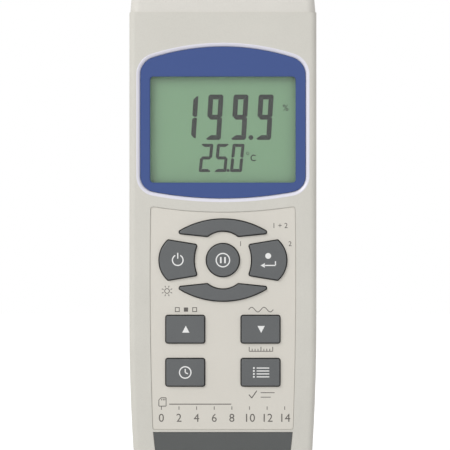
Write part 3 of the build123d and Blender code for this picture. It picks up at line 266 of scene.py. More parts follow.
def map_range(tree, value, low, high, to_low=0.0, to_high=1.0):
    """Maps low..high to to_low..to_high, clamped. Any of the four may be a socket."""
    links = {"Value": value, "From Min": low, "From Max": high, "To Min": to_low, "To Max": to_high}
    return add_node(tree, "ShaderNodeMapRange", links, clamp=True).outputs["Result"]


def mix_colours(tree, factor, first, second, blend="MIX"):
    """The two colours mixed by the factor."""
    made = add_node(tree, "ShaderNodeMix", {0: factor, 6: first, 7: second}, data_type="RGBA")
    made.blend_type = blend
    return made.outputs[2]


def maths(tree, operation, first, second):
    """Two values put together."""
    return add_node(tree, "ShaderNodeMath", {0: first, 1: second}, operation=operation).outputs[0]


def moulded_grain_group():
    """Moulded plastic: cloudy colour, uneven gloss and a fine raised grain."""
    tree, given, result = group_tree(
        "moulded_grain",
        [
            ("Colour", "colour", (0.5, 0.5, 0.5, 1)),
            ("Shade", "colour", (0.4, 0.4, 0.4, 1)),
            ("Grain Scale", "value", 2600.0),
            ("Cloud Scale", "value", 60.0),
            ("Mottle", "value", 0.4),
            ("Rough Low", "value", 0.45),
            ("Rough High", "value", 0.6),
        ],
        [("Colour", "colour"), ("Roughness", "value"), ("Height", "value")],
    )
    place = tree.nodes.new("ShaderNodeTexCoord").outputs["Object"]
    cloud = add_node(
        tree, "ShaderNodeTexNoise", {"Vector": place, "Scale": given["Cloud Scale"], "Detail": 4.0}
    ).outputs["Fac"]
    grain = add_node(
        tree, "ShaderNodeTexNoise", {"Vector": place, "Scale": given["Grain Scale"], "Detail": 2.0}
    ).outputs["Fac"]
    pits = add_node(
        tree, "ShaderNodeTexVoronoi", {"Vector": place, "Scale": given["Grain Scale"]}, feature="F1"
    ).outputs["Distance"]
    patch = map_range(tree, cloud, 0.35, 0.68)
    speck = map_range(tree, grain, 0.42, 0.7)
    amount = maths(tree, "MULTIPLY", maths(tree, "ADD", patch, speck), given["Mottle"])
    tree.links.new(mix_colours(tree, amount, given["Colour"], given["Shade"]), result["Colour"])
    tree.links.new(
        map_range(tree, cloud, 0.3, 0.7, given["Rough Low"], given["Rough High"]), result["Roughness"]
    )
    tree.links.new(maths(tree, "ADD", grain, maths(tree, "MULTIPLY", pits, 0.5)), result["Height"])
    return tree


def handling_group():
    """Handling: faint rubbed patches, and a little dust on what faces up."""
    tree, given, result = group_tree(
        "handling",
        [
            ("Colour", "colour", (0.5, 0.5, 0.5, 1)),
            ("Dust Colour", "colour", (0.62, 0.6, 0.56, 1)),
            ("Dust", "value", 0.15),
            ("Roughness", "value", 0.5),
            ("Rub", "value", 0.08),
        ],
        [("Colour", "colour"), ("Roughness", "value")],
    )
    place = tree.nodes.new("ShaderNodeTexCoord").outputs["Object"]
    normal = tree.nodes.new("ShaderNodeNewGeometry").outputs["Normal"]
    up = add_node(tree, "ShaderNodeSeparateXYZ", {"Vector": normal}).outputs["Z"]
    flecks = add_node(
        tree, "ShaderNodeTexNoise", {"Vector": place, "Scale": 420.0, "Detail": 5.0}
    ).outputs["Fac"]
    smears = add_node(
        tree, "ShaderNodeTexNoise", {"Vector": place, "Scale": 95.0, "Detail": 3.0, "Distortion": 1.2}
    ).outputs["Fac"]
    lying = maths(tree, "MULTIPLY", map_range(tree, up, 0.3, 0.95), map_range(tree, flecks, 0.45, 0.72))
    dust = maths(tree, "MULTIPLY", lying, given["Dust"])
    rubbed = maths(tree, "MULTIPLY", map_range(tree, smears, 0.52, 0.72), given["Rub"])
    tree.links.new(mix_colours(tree, dust, given["Colour"], given["Dust Colour"]), result["Colour"])
    tree.links.new(
        maths(tree, "ADD", maths(tree, "SUBTRACT", given["Roughness"], rubbed), dust), result["Roughness"]
    )
    return tree


def fine_scratches_group():
    """Fine scratches: thin straight marks in two directions, broken up by a cloud."""
    tree, given, result = group_tree(
        "fine_scratches",
        [("Scale", "value", 160.0), ("Amount", "value", 0.3)],
        [("Mask", "value")],
    )
    place = tree.nodes.new("ShaderNodeTexCoord").outputs["Object"]
    marks = []
    for turn, stretch in ((0.5, (1.0, 1.0, 0.04)), (-0.9, (0.05, 1.0, 1.0))):
        turned = add_node(
            tree, "ShaderNodeMapping", {"Vector": place, "Rotation": (0, turn, 0), "Scale": stretch}
        ).outputs["Vector"]
        lines = add_node(
            tree, "ShaderNodeTexNoise", {"Vector": turned, "Scale": given["Scale"], "Detail": 1.0}
        ).outputs["Fac"]
        marks.append(map_range(tree, lines, 0.68, 0.72))
    cloud = add_node(tree, "ShaderNodeTexNoise", {"Vector": place, "Scale": 45.0}).outputs["Fac"]
    both = maths(tree, "MAXIMUM", marks[0], marks[1])
    broken = maths(tree, "MULTIPLY", both, map_range(tree, cloud, 0.5, 0.65))
    tree.links.new(maths(tree, "MULTIPLY", broken, given["Amount"]), result["Mask"])
    return tree


def drawn_metal_group():
    """Drawn or turned metal: streaks along one axis, in colour, gloss and height."""
    tree, given, result = group_tree(
        "drawn_metal",
        [
            ("Colour", "colour", (0.7, 0.7, 0.7, 1)),
            ("Tarnish", "colour", (0.4, 0.38, 0.34, 1)),
            ("Scale", "value", 900.0),
            ("Rough Low", "value", 0.2),
            ("Rough High", "value", 0.4),
        ],
        [("Colour", "colour"), ("Roughness", "value"), ("Height", "value")],
    )
    place = tree.nodes.new("ShaderNodeTexCoord").outputs["Object"]
    along = add_node(
        tree, "ShaderNodeMapping", {"Vector": place, "Scale": (0.08, 1.0, 1.0)}
    ).outputs["Vector"]
    streaks = add_node(
        tree, "ShaderNodeTexNoise", {"Vector": along, "Scale": given["Scale"], "Detail": 3.0}
    ).outputs["Fac"]
    spots = add_node(
        tree, "ShaderNodeTexNoise", {"Vector": place, "Scale": 260.0, "Detail": 6.0}
    ).outputs["Fac"]
    amount = map_range(tree, spots, 0.52, 0.78, 0.0, 0.5)
    tree.links.new(mix_colours(tree, amount, given["Colour"], given["Tarnish"]), result["Colour"])
    tree.links.new(
        map_range(tree, streaks, 0.3, 0.7, given["Rough Low"], given["Rough High"]), result["Roughness"]
    )
    tree.links.new(streaks, result["Height"])
    return tree


def shared_group(build):
    """The group that this function builds, built once."""
    return bpy.data.node_groups.get(build.__name__.removesuffix("_group")) or build()


# Materials


def solid(rgb, share=1.0):
    """A colour with its alpha, made darker by the share."""
    return (*(share * value for value in rgb), 1.0)


def blank_material(name):
    """A new material with its Principled shader, and its tree."""
    material = bpy.data.materials.new(name)
    material.use_nodes = True
    tree = material.node_tree
    return material, tree, tree.nodes["Principled BSDF"]


def use_group(tree, build, links):
    """The shared group placed in this tree."""
    made = tree.nodes.new("ShaderNodeGroup")
    made.node_tree = shared_group(build)
    for key, value in links.items():
        if isinstance(value, bpy.types.NodeSocket):
            tree.links.new(value, made.inputs[key])
        else:
            made.inputs[key].default_value = value
    return made.outputs


def set_bump(tree, shader, height, depth_mm, strength=1.0):
    """Raises the surface by the height, over depth_mm."""
    links = {"Height": height, "Distance": depth_mm * MM, "Strength": strength}
    tree.links.new(add_node(tree, "ShaderNodeBump", links).outputs["Normal"], shader.inputs["Normal"])


def moulded(
    name, rgb, rough=(0.45, 0.58), grain=2600.0, depth_mm=0.012, mottle=0.16, dust=0.18, specular=0.4
):
    """Moulded plastic or film: grain, cloud, rubbed patches and a little dust."""
    material, tree, shader = blank_material(name)
    body = use_group(
        tree,
        moulded_grain_group,
        {
            "Colour": solid(rgb),
            "Shade": solid(rgb, 0.82),
            "Grain Scale": grain,
            "Mottle": mottle,
            "Rough Low": rough[0],
            "Rough High": rough[1],
        },
    )
    worn = use_group(
        tree, handling_group, {"Colour": body["Colour"], "Roughness": body["Roughness"], "Dust": dust}
    )
    tree.links.new(worn["Colour"], shader.inputs["Base Color"])
    tree.links.new(worn["Roughness"], shader.inputs["Roughness"])
    shader.inputs["Specular IOR Level"].default_value = specular
    set_bump(tree, shader, body["Height"], depth_mm)
    return material


def metal(name, rgb, rough=(0.22, 0.36), scale=900.0, depth_mm=0.004, tarnish=0.55):
    """Plated, drawn or turned metal."""
    material, tree, shader = blank_material(name)
    drawn = use_group(
        tree,
        drawn_metal_group,
        {
            "Colour": solid(rgb),
            "Tarnish": solid(rgb, tarnish),
            "Scale": scale,
            "Rough Low": rough[0],
            "Rough High": rough[1],
        },
    )
    tree.links.new(drawn["Colour"], shader.inputs["Base Color"])
    tree.links.new(drawn["Roughness"], shader.inputs["Roughness"])
    shader.inputs["Metallic"].default_value = 1.0
    set_bump(tree, shader, drawn["Height"], depth_mm)
    return material


def glossy_film(name, rgb, rough=(0.2, 0.3), scratches=0.4, mottle=0.1, coat=0.0):
    """A smooth face, with scratches that catch the light."""
    material, tree, shader = blank_material(name)
    body = use_group(
        tree,
        moulded_grain_group,
        {
            "Colour": solid(rgb),
            "Shade": solid(rgb, 0.9),
            "Grain Scale": 1400.0,
            "Cloud Scale": 35.0,
            "Mottle": mottle,
            "Rough Low": rough[0],
            "Rough High": rough[1],
        },
    )
    marks = use_group(tree, fine_scratches_group, {"Amount": scratches})["Mask"]
    tree.links.new(body["Colour"], shader.inputs["Base Color"])
    tree.links.new(maths(tree, "ADD", body["Roughness"], marks), shader.inputs["Roughness"])
    shader.inputs["Coat Weight"].default_value = coat
    set_bump(tree, shader, body["Height"], 0.002)
    return material


def clear_lens_material():
    """The clear lens: nearly all see-through, with haze and scratches; its real gloss is helped by a
    painted sheen, a white base that grows more opaque at a low angle.
    """
    material, tree, shader = blank_material("clear_lens")
    marks = use_group(tree, fine_scratches_group, {"Amount": 0.12, "Scale": 120.0})["Mask"]
    haze = use_group(
        tree, moulded_grain_group, {"Grain Scale": 900.0, "Rough Low": 0.02, "Rough High": 0.07}
    )["Roughness"]
    # Painted sheen: the white base grows more opaque as the view grows more slanted, in place of the lens's
    # reflection; the gloss of the shader itself is real.
    edge = add_node(tree, "ShaderNodeLayerWeight", {"Blend": 0.25}).outputs["Fresnel"]
    painted_sheen = map_range(tree, edge, 0.0, 1.0, 0.035, 0.6)
    tree.links.new(maths(tree, "ADD", painted_sheen, marks), shader.inputs["Alpha"])
    tree.links.new(haze, shader.inputs["Roughness"])
    shader.inputs["Base Color"].default_value = (0.93, 0.95, 0.94, 1)
    shader.inputs["Specular IOR Level"].default_value = 0.6
    return material


def display_material(rgb):
    """The display's green-grey ground: a fine cell pattern under a smooth face."""
    material, tree, shader = blank_material("display")
    place = tree.nodes.new("ShaderNodeTexCoord").outputs["Object"]
    cells = add_node(
        tree, "ShaderNodeTexVoronoi", {"Vector": place, "Scale": 2400.0}, feature="F1"
    ).outputs["Distance"]
    fibre = add_node(
        tree, "ShaderNodeTexNoise", {"Vector": place, "Scale": 520.0, "Detail": 4.0}
    ).outputs["Fac"]
    amount = maths(tree, "MULTIPLY", maths(tree, "ADD", cells, fibre), 0.18)
    ground = mix_colours(tree, amount, solid(rgb, 1.04), solid(rgb, 0.8))
    tree.links.new(ground, shader.inputs["Base Color"])
    tree.links.new(map_range(tree, fibre, 0.3, 0.7, 0.34, 0.46), shader.inputs["Roughness"])
    shader.inputs["Specular IOR Level"].default_value = 0.3
    return material


def circuit_board_material():
    """The green board: copper tracks under the mask, as raised lines in one direction."""
    material, tree, shader = blank_material("circuit_board")
    place = tree.nodes.new("ShaderNodeTexCoord").outputs["Object"]
    flat = add_node(tree, "ShaderNodeMapping", {"Vector": place, "Scale": (1, 0, 1)}).outputs["Vector"]
    tracks = add_node(
        tree, "ShaderNodeTexVoronoi", {"Vector": flat, "Scale": 190.0}, feature="F1", distance="CHEBYCHEV"
    ).outputs["Distance"]
    lines = add_node(
        tree, "ShaderNodeMath", {0: maths(tree, "MULTIPLY", tracks, 40.0)}, operation="SINE"
    ).outputs[0]
    track = map_range(tree, lines, 0.1, 0.3)
    mask = mix_colours(tree, track, (0.012, 0.11, 0.038, 1), (0.03, 0.2, 0.07, 1))
    pads = map_range(tree, tracks, 0.03, 0.05, 1.0, 0.0)
    tree.links.new(mix_colours(tree, pads, mask, (0.6, 0.58, 0.5, 1)), shader.inputs["Base Color"])
    tree.links.new(pads, shader.inputs["Metallic"])
    shader.inputs["Roughness"].default_value = 0.32
    set_bump(tree, shader, track, 0.03)
    return material


def cell_wrap_material(name, band_at_right):
    """A cell's printed wrap: dark, with a copper-coloured band at its positive end."""
    material, tree, shader = blank_material(name)
    place = tree.nodes.new("ShaderNodeTexCoord").outputs["Object"]
    across = add_node(tree, "ShaderNodeSeparateXYZ", {"Vector": place}).outputs["X"]
    side = 1.0 if band_at_right else -1.0
    band = map_range(tree, maths(tree, "MULTIPLY", across, side), 0.0088, 0.0091)
    end = map_range(tree, maths(tree, "MULTIPLY", across, side), 0.0244, 0.0246)
    wrap = mix_colours(tree, band, (0.022, 0.024, 0.028, 1), (0.52, 0.26, 0.1, 1))
    body = mix_colours(tree, end, wrap, (0.72, 0.72, 0.7, 1))
    streaks = use_group(tree, drawn_metal_group, {"Scale": 500.0, "Rough Low": 0.22, "Rough High": 0.34})
    tree.links.new(body, shader.inputs["Base Color"])
    tree.links.new(streaks["Roughness"], shader.inputs["Roughness"])
    bare = maths(tree, "ADD", band, end)
    tree.links.new(map_range(tree, bare, 0.0, 2.0, 0.1, 1.0), shader.inputs["Metallic"])
    set_bump(tree, shader, streaks["Height"], 0.002)
    return material


def foam_material():
    """Open-cell foam: dark, deeply pitted, with painted shade that darkens each pit towards its bottom."""
    material, tree, shader = blank_material("foam")
    place = tree.nodes.new("ShaderNodeTexCoord").outputs["Object"]
    cells = add_node(tree, "ShaderNodeTexVoronoi", {"Vector": place, "Scale": 1300.0}).outputs["Distance"]
    pit = map_range(tree, cells, 0.1, 0.6)
    # Painted shade: the colour is darkest where the bump is lowest, at the bottom of each pit.
    colours = mix_colours(tree, pit, (0.01, 0.01, 0.01, 1), (0.07, 0.07, 0.068, 1))
    tree.links.new(colours, shader.inputs["Base Color"])
    tree.links.new(map_range(tree, cells, 0.0, 0.7, 0.8, 0.98), shader.inputs["Roughness"])
    set_bump(tree, shader, pit, 0.2)
    return material


def ink_material(name, rgb, rough):
    """Printed ink: flat, a little uneven where the screen left it thin."""
    return moulded(
        name, rgb, rough=rough, grain=5200.0, depth_mm=0.004, mottle=0.1, dust=0.05, specular=0.25
    )


def finish_materials():
    """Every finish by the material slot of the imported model."""
    looks = settings().finish
    return {
        "case_plastic": moulded("case_plastic", looks.case_colour),
        "cap_plastic": moulded("cap_plastic", looks.cap_colour),
        "panel_film": moulded(
            "panel_film", looks.panel_colour, rough=(0.4, 0.5), depth_mm=0.004, mottle=0.08
        ),
        "plate_film": moulded(
            "plate_film", looks.plate_colour, rough=(0.42, 0.54), depth_mm=0.004, mottle=0.2
        ),
        "frame_blue": glossy_film("frame_blue", looks.frame_colour, rough=(0.34, 0.44), scratches=0.12),
        "clear_lens": clear_lens_material(),
        "display": display_material(looks.glass_colour),
        "black_plastic": moulded("black_plastic", (0.022, 0.022, 0.023), rough=(0.35, 0.5), dust=0.1),
        "strip_rubber": moulded("strip_rubber", (0.2, 0.2, 0.2), rough=(0.7, 0.85), mottle=0.3),
        "light_guide": glossy_film("light_guide", (0.75, 0.8, 0.7), rough=(0.4, 0.5)),
        "circuit_board": circuit_board_material(),
        "chip_plastic": moulded("chip_plastic", (0.02, 0.02, 0.021), rough=(0.5, 0.65), depth_mm=0.006),
        "mat_rubber": moulded("mat_rubber", (0.15, 0.15, 0.15), rough=(0.6, 0.75), mottle=0.25),
        "key_plastic": moulded("key_plastic", looks.key_colour, rough=(0.42, 0.55), mottle=0.22, dust=0.08),
        "plated_metal": metal("plated_metal", (0.72, 0.71, 0.69), rough=(0.16, 0.3)),
        "socket_white": moulded("socket_white", (0.82, 0.8, 0.74), rough=(0.3, 0.42), depth_mm=0.004),
        "contact_gold": metal("contact_gold", (0.78, 0.55, 0.2), rough=(0.2, 0.32)),
        "screw_steel": metal("screw_steel", (0.52, 0.52, 0.53), rough=(0.3, 0.46), scale=1500.0),
        "sheet_steel": metal("sheet_steel", (0.6, 0.6, 0.59), rough=(0.28, 0.42)),
        "nut_brass": metal("nut_brass", (0.66, 0.47, 0.2), rough=(0.26, 0.4), scale=1400.0),
        "cell_wrap": cell_wrap_material("cell_wrap", True),
        "foam": foam_material(),
        "card_plastic": moulded("card_plastic", (0.026, 0.034, 0.07), rough=(0.3, 0.42), depth_mm=0.004),
    }


# Meshes


def spot(x_mm, z_mm):
    """A point on a flat mark, in millimetres across and up."""
    return Vector((x_mm, z_mm)) * MM


def raised(name, shapes, front, material, body, depth=INK_THICKNESS, facing=-1):
    """Flat shapes given as outlines in X and Z, as one thin closed mesh.

    It starts at the depth front along Y and stands out by depth, towards the face (-1) or the back (1)."""
    mesh = bmesh.new()
    for outline in shapes:
        base = [mesh.verts.new((p.x, front, p.y)) for p in outline]
        top = [mesh.verts.new((p.x, front + facing * depth, p.y)) for p in outline]
        mesh.faces.new(base)
        mesh.faces.new(top)
        for i in range(len(outline)):
            j = (i + 1) % len(outline)
            mesh.faces.new((base[i], base[j], top[j], top[i]))
    bmesh.ops.recalc_face_normals(mesh, faces=mesh.faces)
    return place_mesh(name, mesh, material, body)


def place_mesh(name, mesh, material, body):
    """The bmesh as a finished piece that rides on the body."""
    data = bpy.data.meshes.new(name)
    mesh.to_mesh(data)
    mesh.free()
    data.materials.append(material)
    piece = bpy.data.objects.new(name, data)
    bpy.context.scene.collection.objects.link(piece)
    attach(piece, body)
    return piece


def bar(start, end, width):
    """A straight line of the given width."""
    along = (end - start).normalized()
    side = Vector((-along.y, along.x)) * width / 2
    return [[start + side, start - side, end - side, end + side]]


def disc(centre, radius, count=28):
    """A filled circle."""
    turn = 2 * math.pi / count
    return [[centre + radius * Vector((math.cos(i * turn), math.sin(i * turn))) for i in range(count)]]


def ring(centre, radius, width, start=0.0, end=360.0, count=32):
    """A line round a circle, or round part of it, in degrees."""
    first, last = math.radians(start), math.radians(end)
    points = []
    for i in range(count + 1):
        angle = first + (last - first) * i / count
        points.append(Vector((math.cos(angle), math.sin(angle))))
    inner, outer = radius - width / 2, radius + width / 2
    return [
        [centre + inner * a, centre + outer * a, centre + outer * b, centre + inner * b]
        for a, b in zip(points, points[1:])
    ]


def lines(points, width):
    """Straight lines through the points."""
    shapes = []
    for a, b in zip(points, points[1:]):
        shapes += bar(a, b, width)
    return shapes


def rectangle(low, high):
    """A filled rectangle."""
    return [[low, Vector((high.x, low.y)), high, Vector((low.x, high.y))]]


def frame_lines(low, high, width):
    """The outline of a rectangle, drawn with a line."""
    half = width / 2
    grow = Vector((half, half))
    return (
        rectangle(low - grow, Vector((high.x, low.y)) + grow)
        + rectangle(Vector((low.x, high.y)) - grow, high + grow)
        + rectangle(low - grow, Vector((low.x, high.y)) + grow)
        + rectangle(Vector((high.x, low.y)) - grow, high + grow)
    )


# Figures

SEGMENTS_LIT = {
    "0": "abcdef",
    "1": "bc",
    "2": "abged",
    "3": "abgcd",
    "4": "fgbc",
    "5": "afgcd",
    "6": "afgecd",
    "7": "abc",
    "8": "abcdefg",
    "9": "abcdfg",
}


def segment(letter, width, height, stroke, gap):
    """The outline of one segment of an upright figure round its middle."""
    w, h, s, g = width / 2, height / 2, stroke, gap / 2
    chip = stroke * 0.28
    if letter == "g":
        half = s / 2
        reach = w - s / 2 - g
        tip = w - g * 2 - s * 0.15
        return [(-tip, 0), (-reach + half * 0.4, half), (reach - half * 0.4, half), (tip, 0)] + [
            (reach - half * 0.4, -half),
            (-reach + half * 0.4, -half),
        ]
    if letter in "ad":
        points = [(-w + chip + g, h), (w - chip - g, h), (w - g, h - chip), (w - s - g, h - s)]
        points += [(-w + s + g, h - s), (-w + g, h - chip)]
        return points if letter == "a" else [(x, -z) for x, z in points]
    points = [(w, h - chip - g), (w, g + s * 0.12), (w - s * 0.5, g)]
    points += [(w - s, g + s * 0.35), (w - s, h - s - g), (w - s * 0.32, h - s * 0.32 - g)]
    flip = {"b": (1, 1), "c": (1, -1), "f": (-1, 1), "e": (-1, -1)}[letter]
    return [(x * flip[0], z * flip[1]) for x, z in points]


def figure(text, middle, pitch, width, height, stroke, gap, slant):
    """Segment figures with the last one round its middle, slanted, with points between them."""
    shapes = []
    lean = math.tan(slant)
    place = middle.copy()
    for sign in reversed(text):
        if sign == ".":
            spot_at = place + Vector((pitch / 2 - lean * height / 2, -height / 2 + stroke / 2))
            shapes += disc(spot_at, stroke * 0.5, 16)
            continue
        for letter in SEGMENTS_LIT[sign]:
            outline = segment(letter, width, height, stroke, gap)
            shapes.append([place + Vector((x + lean * z, z)) for x, z in outline])
        place.x -= pitch
    return shapes


def typed(text, middle, height):
    """Plain numbers or a unit as flat shapes, set with their middle at the point."""
    curve = bpy.data.curves.new("typed", "FONT")
    curve.body = text
    curve.align_x = "CENTER"
    curve.size = height / 0.72
    curve.resolution_u = 3
    holder = bpy.data.objects.new("typed", curve)
    bpy.context.scene.collection.objects.link(holder)
    bpy.context.view_layer.update()
    data = bpy.data.meshes.new_from_object(holder.evaluated_get(bpy.context.evaluated_depsgraph_get()))
    bpy.data.objects.remove(holder)
    drop = Vector((0, height / 2))
    shapes = []
    for face in data.polygons:
        corners = [data.vertices[i].co for i in face.vertices]
        shapes.append([middle - drop + Vector((c.x, c.y)) for c in corners])
    bpy.data.meshes.remove(data)
    return shapes


# Display


def outer_loop(name, plane_y, tolerance=0.02 * MM):
    """The outer outline of a CAD node's flat front, as points in order round its middle."""
    found = {}
    middle = box_middle(name)
    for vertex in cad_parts[name].data.vertices:
        if abs(vertex.co.y - plane_y) > tolerance:
            continue
        away = Vector((vertex.co.x - middle.x, vertex.co.z - middle.z))
        key = round(math.atan2(away.y, away.x), 3)
        if key not in found or away.length > found[key][0]:
            found[key] = (away.length, Vector((vertex.co.x, vertex.co.z)))
    return [found[key][1] for key in sorted(found)]


def grown(outline, amount):
    """The outline moved out by the amount, point by point."""
    count = len(outline)
    moved = []
    for i, point in enumerate(outline):
        along = (outline[(i + 1) % count] - outline[i - 1]).normalized()
        moved.append(point + amount * Vector((along.y, -along.x)))
    return moved


def build_display_rim():
    """A pale lining of the bevel round the blue frame, lighter than the case: a painted highlight in place
    of the light that the bevel catches.
    """
    looks = settings().finish
    low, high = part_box("display_bezel")
    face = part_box("front_case")[0].y
    top, foot = high.z - RIM_TOP_BAND, low.z + RIM_LOW_BAND
    loop = outer_loop("display_bezel", low.y)
    loop = [p for p in loop if abs(p.x) > RIM_INNER_X or p.y > top or p.y < foot]
    profile = [
        (0.12 * MM, face + BEVEL_DEPTH * 0.93),
        (0.35 * MM, face + BEVEL_DEPTH * 0.70 - RIM_SKIN),
        (0.95 * MM, face + BEVEL_DEPTH * 0.12 - RIM_SKIN),
        (BEVEL_WIDTH + 0.12 * MM, face - RIM_SKIN),
        (BEVEL_WIDTH + 0.30 * MM, face - RIM_SKIN),
        (BEVEL_WIDTH + 0.38 * MM, face + RIM_SKIN),
    ]
    mesh = bmesh.new()
    rows = []
    for amount, y in profile:
        rows.append([mesh.verts.new((p.x, y, p.y)) for p in grown(loop, amount)])
    for inner, outer in zip(rows, rows[1:]):
        for i in range(len(loop)):
            j = (i + 1) % len(loop)
            face_made = mesh.faces.new((inner[i], inner[j], outer[j], outer[i]))
            face_made.smooth = True
    bmesh.ops.recalc_face_normals(mesh, faces=mesh.faces)
    if sum(face_made.normal.y for face_made in mesh.faces) > 0:
        bmesh.ops.reverse_faces(mesh, faces=mesh.faces)
    # Painted highlight: the lining is paler than the case all round the bevel, in place of the light that
    # the bevel would catch.
    rim = glossy_film("display_rim", looks.rim_colour, rough=(0.26, 0.36), scratches=0.1)
    place_mesh("display_rim", mesh, rim, BODY)


def build_display_figures():
    """The two readings and their units on the display's glass."""
    sizes = settings().display
    looks = settings().finish
    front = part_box("display_glass")[0].y
    gap, slant = sizes.segment_gap, sizes.slant
    shapes = figure(
        "199.9",
        spot(*LARGE_READING),
        sizes.large_pitch,
        sizes.large_width,
        sizes.large_height,
        sizes.large_stroke,
        gap,
        slant,
    )
    shapes += figure(
        "25.0",
        spot(*SMALL_READING),
        sizes.small_pitch,
        sizes.small_width,
        sizes.small_height,
        sizes.small_stroke,
        gap,
        slant * SMALL_SLANT_SHARE,
    )
    shapes += ring(spot(*DEGREE_PLACE), 0.45 * MM, 0.18 * MM, count=20)
    shapes += ring(spot(*CELSIUS_PLACE), 1.0 * MM, 0.42 * MM, 50, 310, 24)
    shapes += typed("%", spot(*PERCENT_PLACE), PERCENT_HEIGHT)
    ink = ink_material("display_figures", looks.figure_colour, (0.4, 0.5))
    raised("display_figures", shapes, front, ink, BODY, depth=FIGURE_THICKNESS)


# Keys and panel


def power_mark(at, line):
    """A broken ring with an upright line."""
    return ring(at, 1.9 * MM, line, 118, 422) + bar(at + spot(0, 0.5), at + spot(0, 2.6), line)


def hold_mark(at, line):
    """Two upright bars inside a ring."""
    bars = bar(at + spot(-0.75, -1.1), at + spot(-0.75, 1.1), 1.4 * line)
    return ring(at, 2.4 * MM, line) + bars + bar(at + spot(0.75, -1.1), at + spot(0.75, 1.1), 1.4 * line)


def record_mark(at, line):
    """A filled dot over a bent return arrow."""
    arrow = lines([at + spot(2.6, -0.4), at + spot(2.6, -1.9), at + spot(-1.4, -1.9)], line)
    head = [[at + spot(-2.7, -1.9), at + spot(-1.2, -2.75), at + spot(-1.2, -1.05)]]
    return disc(at + spot(0, 1.5), 1.05 * MM) + arrow + head


def up_mark(at, line):
    """A triangle that points up."""
    return [[at + spot(-1.3, -1.2), at + spot(1.3, -1.2), at + spot(0, 1.3)]]


def down_mark(at, line):
    """A triangle that points down."""
    return [[at + spot(-1.3, 1.2), at + spot(0, -1.3), at + spot(1.3, 1.2)]]


def time_mark(at, line):
    """A clock with two hands."""
    hands = lines([at + spot(0, 1.25), at, at + spot(0.95, -0.55)], line)
    return ring(at, 2.05 * MM, line) + hands


def logger_mark(at, line):
    """Four dots, each with a line, as a list."""
    shapes = []
    for row in (-1.5, -0.5, 0.5, 1.5):
        height = row * 1.05
        shapes += disc(at + spot(-2.6, height), 0.34 * MM, 16)
        shapes += bar(at + spot(-1.6, height), at + spot(2.9, height), line * 0.9)
    return shapes


KEY_MARKS = {
    "power_key": (power_mark, -0.15, 0.0),
    "hold_key": (hold_mark, 0.0, 0.0),
    "record_key": (record_mark, 0.2, 0.0),
    "up_key": (up_mark, 0.2, 0.0),
    "down_key": (down_mark, 0.2, 0.0),
    "time_key": (time_mark, 0.0, 0.0),
    "logger_key": (logger_mark, 0.2, 0.0),
}


def build_key_marks():
    """A white symbol on each marked key, riding on its own key."""
    line = settings().marks.key_line
    ink = ink_material("key_ink", settings().finish.key_ink, (0.45, 0.55))
    for name, (draw, shift_x, shift_z) in KEY_MARKS.items():
        middle = box_middle(name)
        at = Vector((middle.x, middle.z)) + spot(shift_x, shift_z)
        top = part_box(name)[0].y
        raised(name.replace("_key", "_symbol"), draw(at, line), top, ink, name)


def sun_mark(at, line):
    """A small sun for the back light."""
    shapes = ring(at, 0.85 * MM, line, count=24)
    for i in range(8):
        angle = math.radians(45 * i + 22.5)
        way = Vector((math.cos(angle), math.sin(angle)))
        shapes += bar(at + 1.35 * MM * way, at + 2.0 * MM * way, line)
    return shapes


def card_mark(at, line):
    """A memory card's outline with its cut corner and contacts."""
    corners = ((-1.3, -1.5), (1.3, -1.5), (1.3, 1.5), (-0.5, 1.5), (-1.3, 0.7), (-1.3, -1.5))
    shapes = lines([at + spot(*corner) for corner in corners], line)
    for x in (-0.3, 0.3, 0.85):
        shapes += bar(at + spot(x, 0.55), at + spot(x, 1.15), line)
    return shapes


def steps_mark(at, line):
    """Three small squares in a row, the middle one filled."""
    shapes = rectangle(at + spot(-0.75, -0.75), at + spot(0.75, 0.75))
    for side in (-1, 1):
        low, high = at + spot(side * 3.1 - 0.7, -0.7), at + spot(side * 3.1 + 0.7, 0.7)
        shapes += frame_lines(low, high, line)
    return shapes


def wave_mark(at, line):
    """One wave on a base line."""
    points = []
    for i in range(25):
        x = -4.4 + 8.8 * i / 24
        points.append(at + spot(x, 0.85 * math.sin(math.pi * x / 2.2)))
    return lines(points, line)


def ruler_mark(at, line):
    """A short ruler with marks of two lengths."""
    shapes = bar(at + spot(-4.2, -0.8), at + spot(4.2, -0.8), line)
    for i in range(9):
        tall = 1.6 if i % 4 == 0 else 0.9
        x = -4.2 + 8.4 * i / 8
        shapes += bar(at + spot(x, -0.8), at + spot(x, -0.8 + tall), line)
    return shapes


def tick_mark(at, line):
    """A tick beside two lines."""
    tick = lines([at + spot(-4.6, 0.1), at + spot(-3.6, -1.1), at + spot(-1.8, 1.5)], line * 1.3)
    upper = bar(at + spot(-0.4, 0.8), at + spot(4.6, 0.8), line)
    return tick + upper + bar(at + spot(-0.4, -0.8), at + spot(3.2, -0.8), line)


def build_panel_marks():
    """The grey marks printed on the keypad's panel."""
    sizes = settings().marks
    line = sizes.panel_line
    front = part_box("keypad_panel")[0].y
    shapes = sun_mark(spot(-19.97, 65.86), line)
    shapes += steps_mark(spot(-13.2, 59.2), line)
    shapes += wave_mark(spot(13.6, 59.2), line)
    shapes += ruler_mark(spot(13.6, 45.1), line)
    shapes += tick_mark(spot(13.9, 28.7), line)
    for text, x, z, height in PANEL_NUMBERS:
        shapes += typed(text, spot(x, z), height * MM)
    shapes += card_mark(spot(-21.6, 26.2), line)
    shapes += bar(spot(*CARD_LINE[0]), spot(*CARD_LINE[1]), line * 1.2)
    for i in range(SCALE_COUNT):
        x = SCALE_START + i * sizes.scale_pitch / MM
        shapes += typed(str(i * sizes.scale_step), spot(x, SCALE_ROW), sizes.scale_height)
        shapes += bar(spot(x, SCALE_TICK[0]), spot(x, SCALE_TICK[1]), line)
    ink = ink_material("panel_ink", settings().finish.panel_ink, (0.5, 0.6))
    raised("panel_marks", shapes, front, ink, BODY)


# Screws


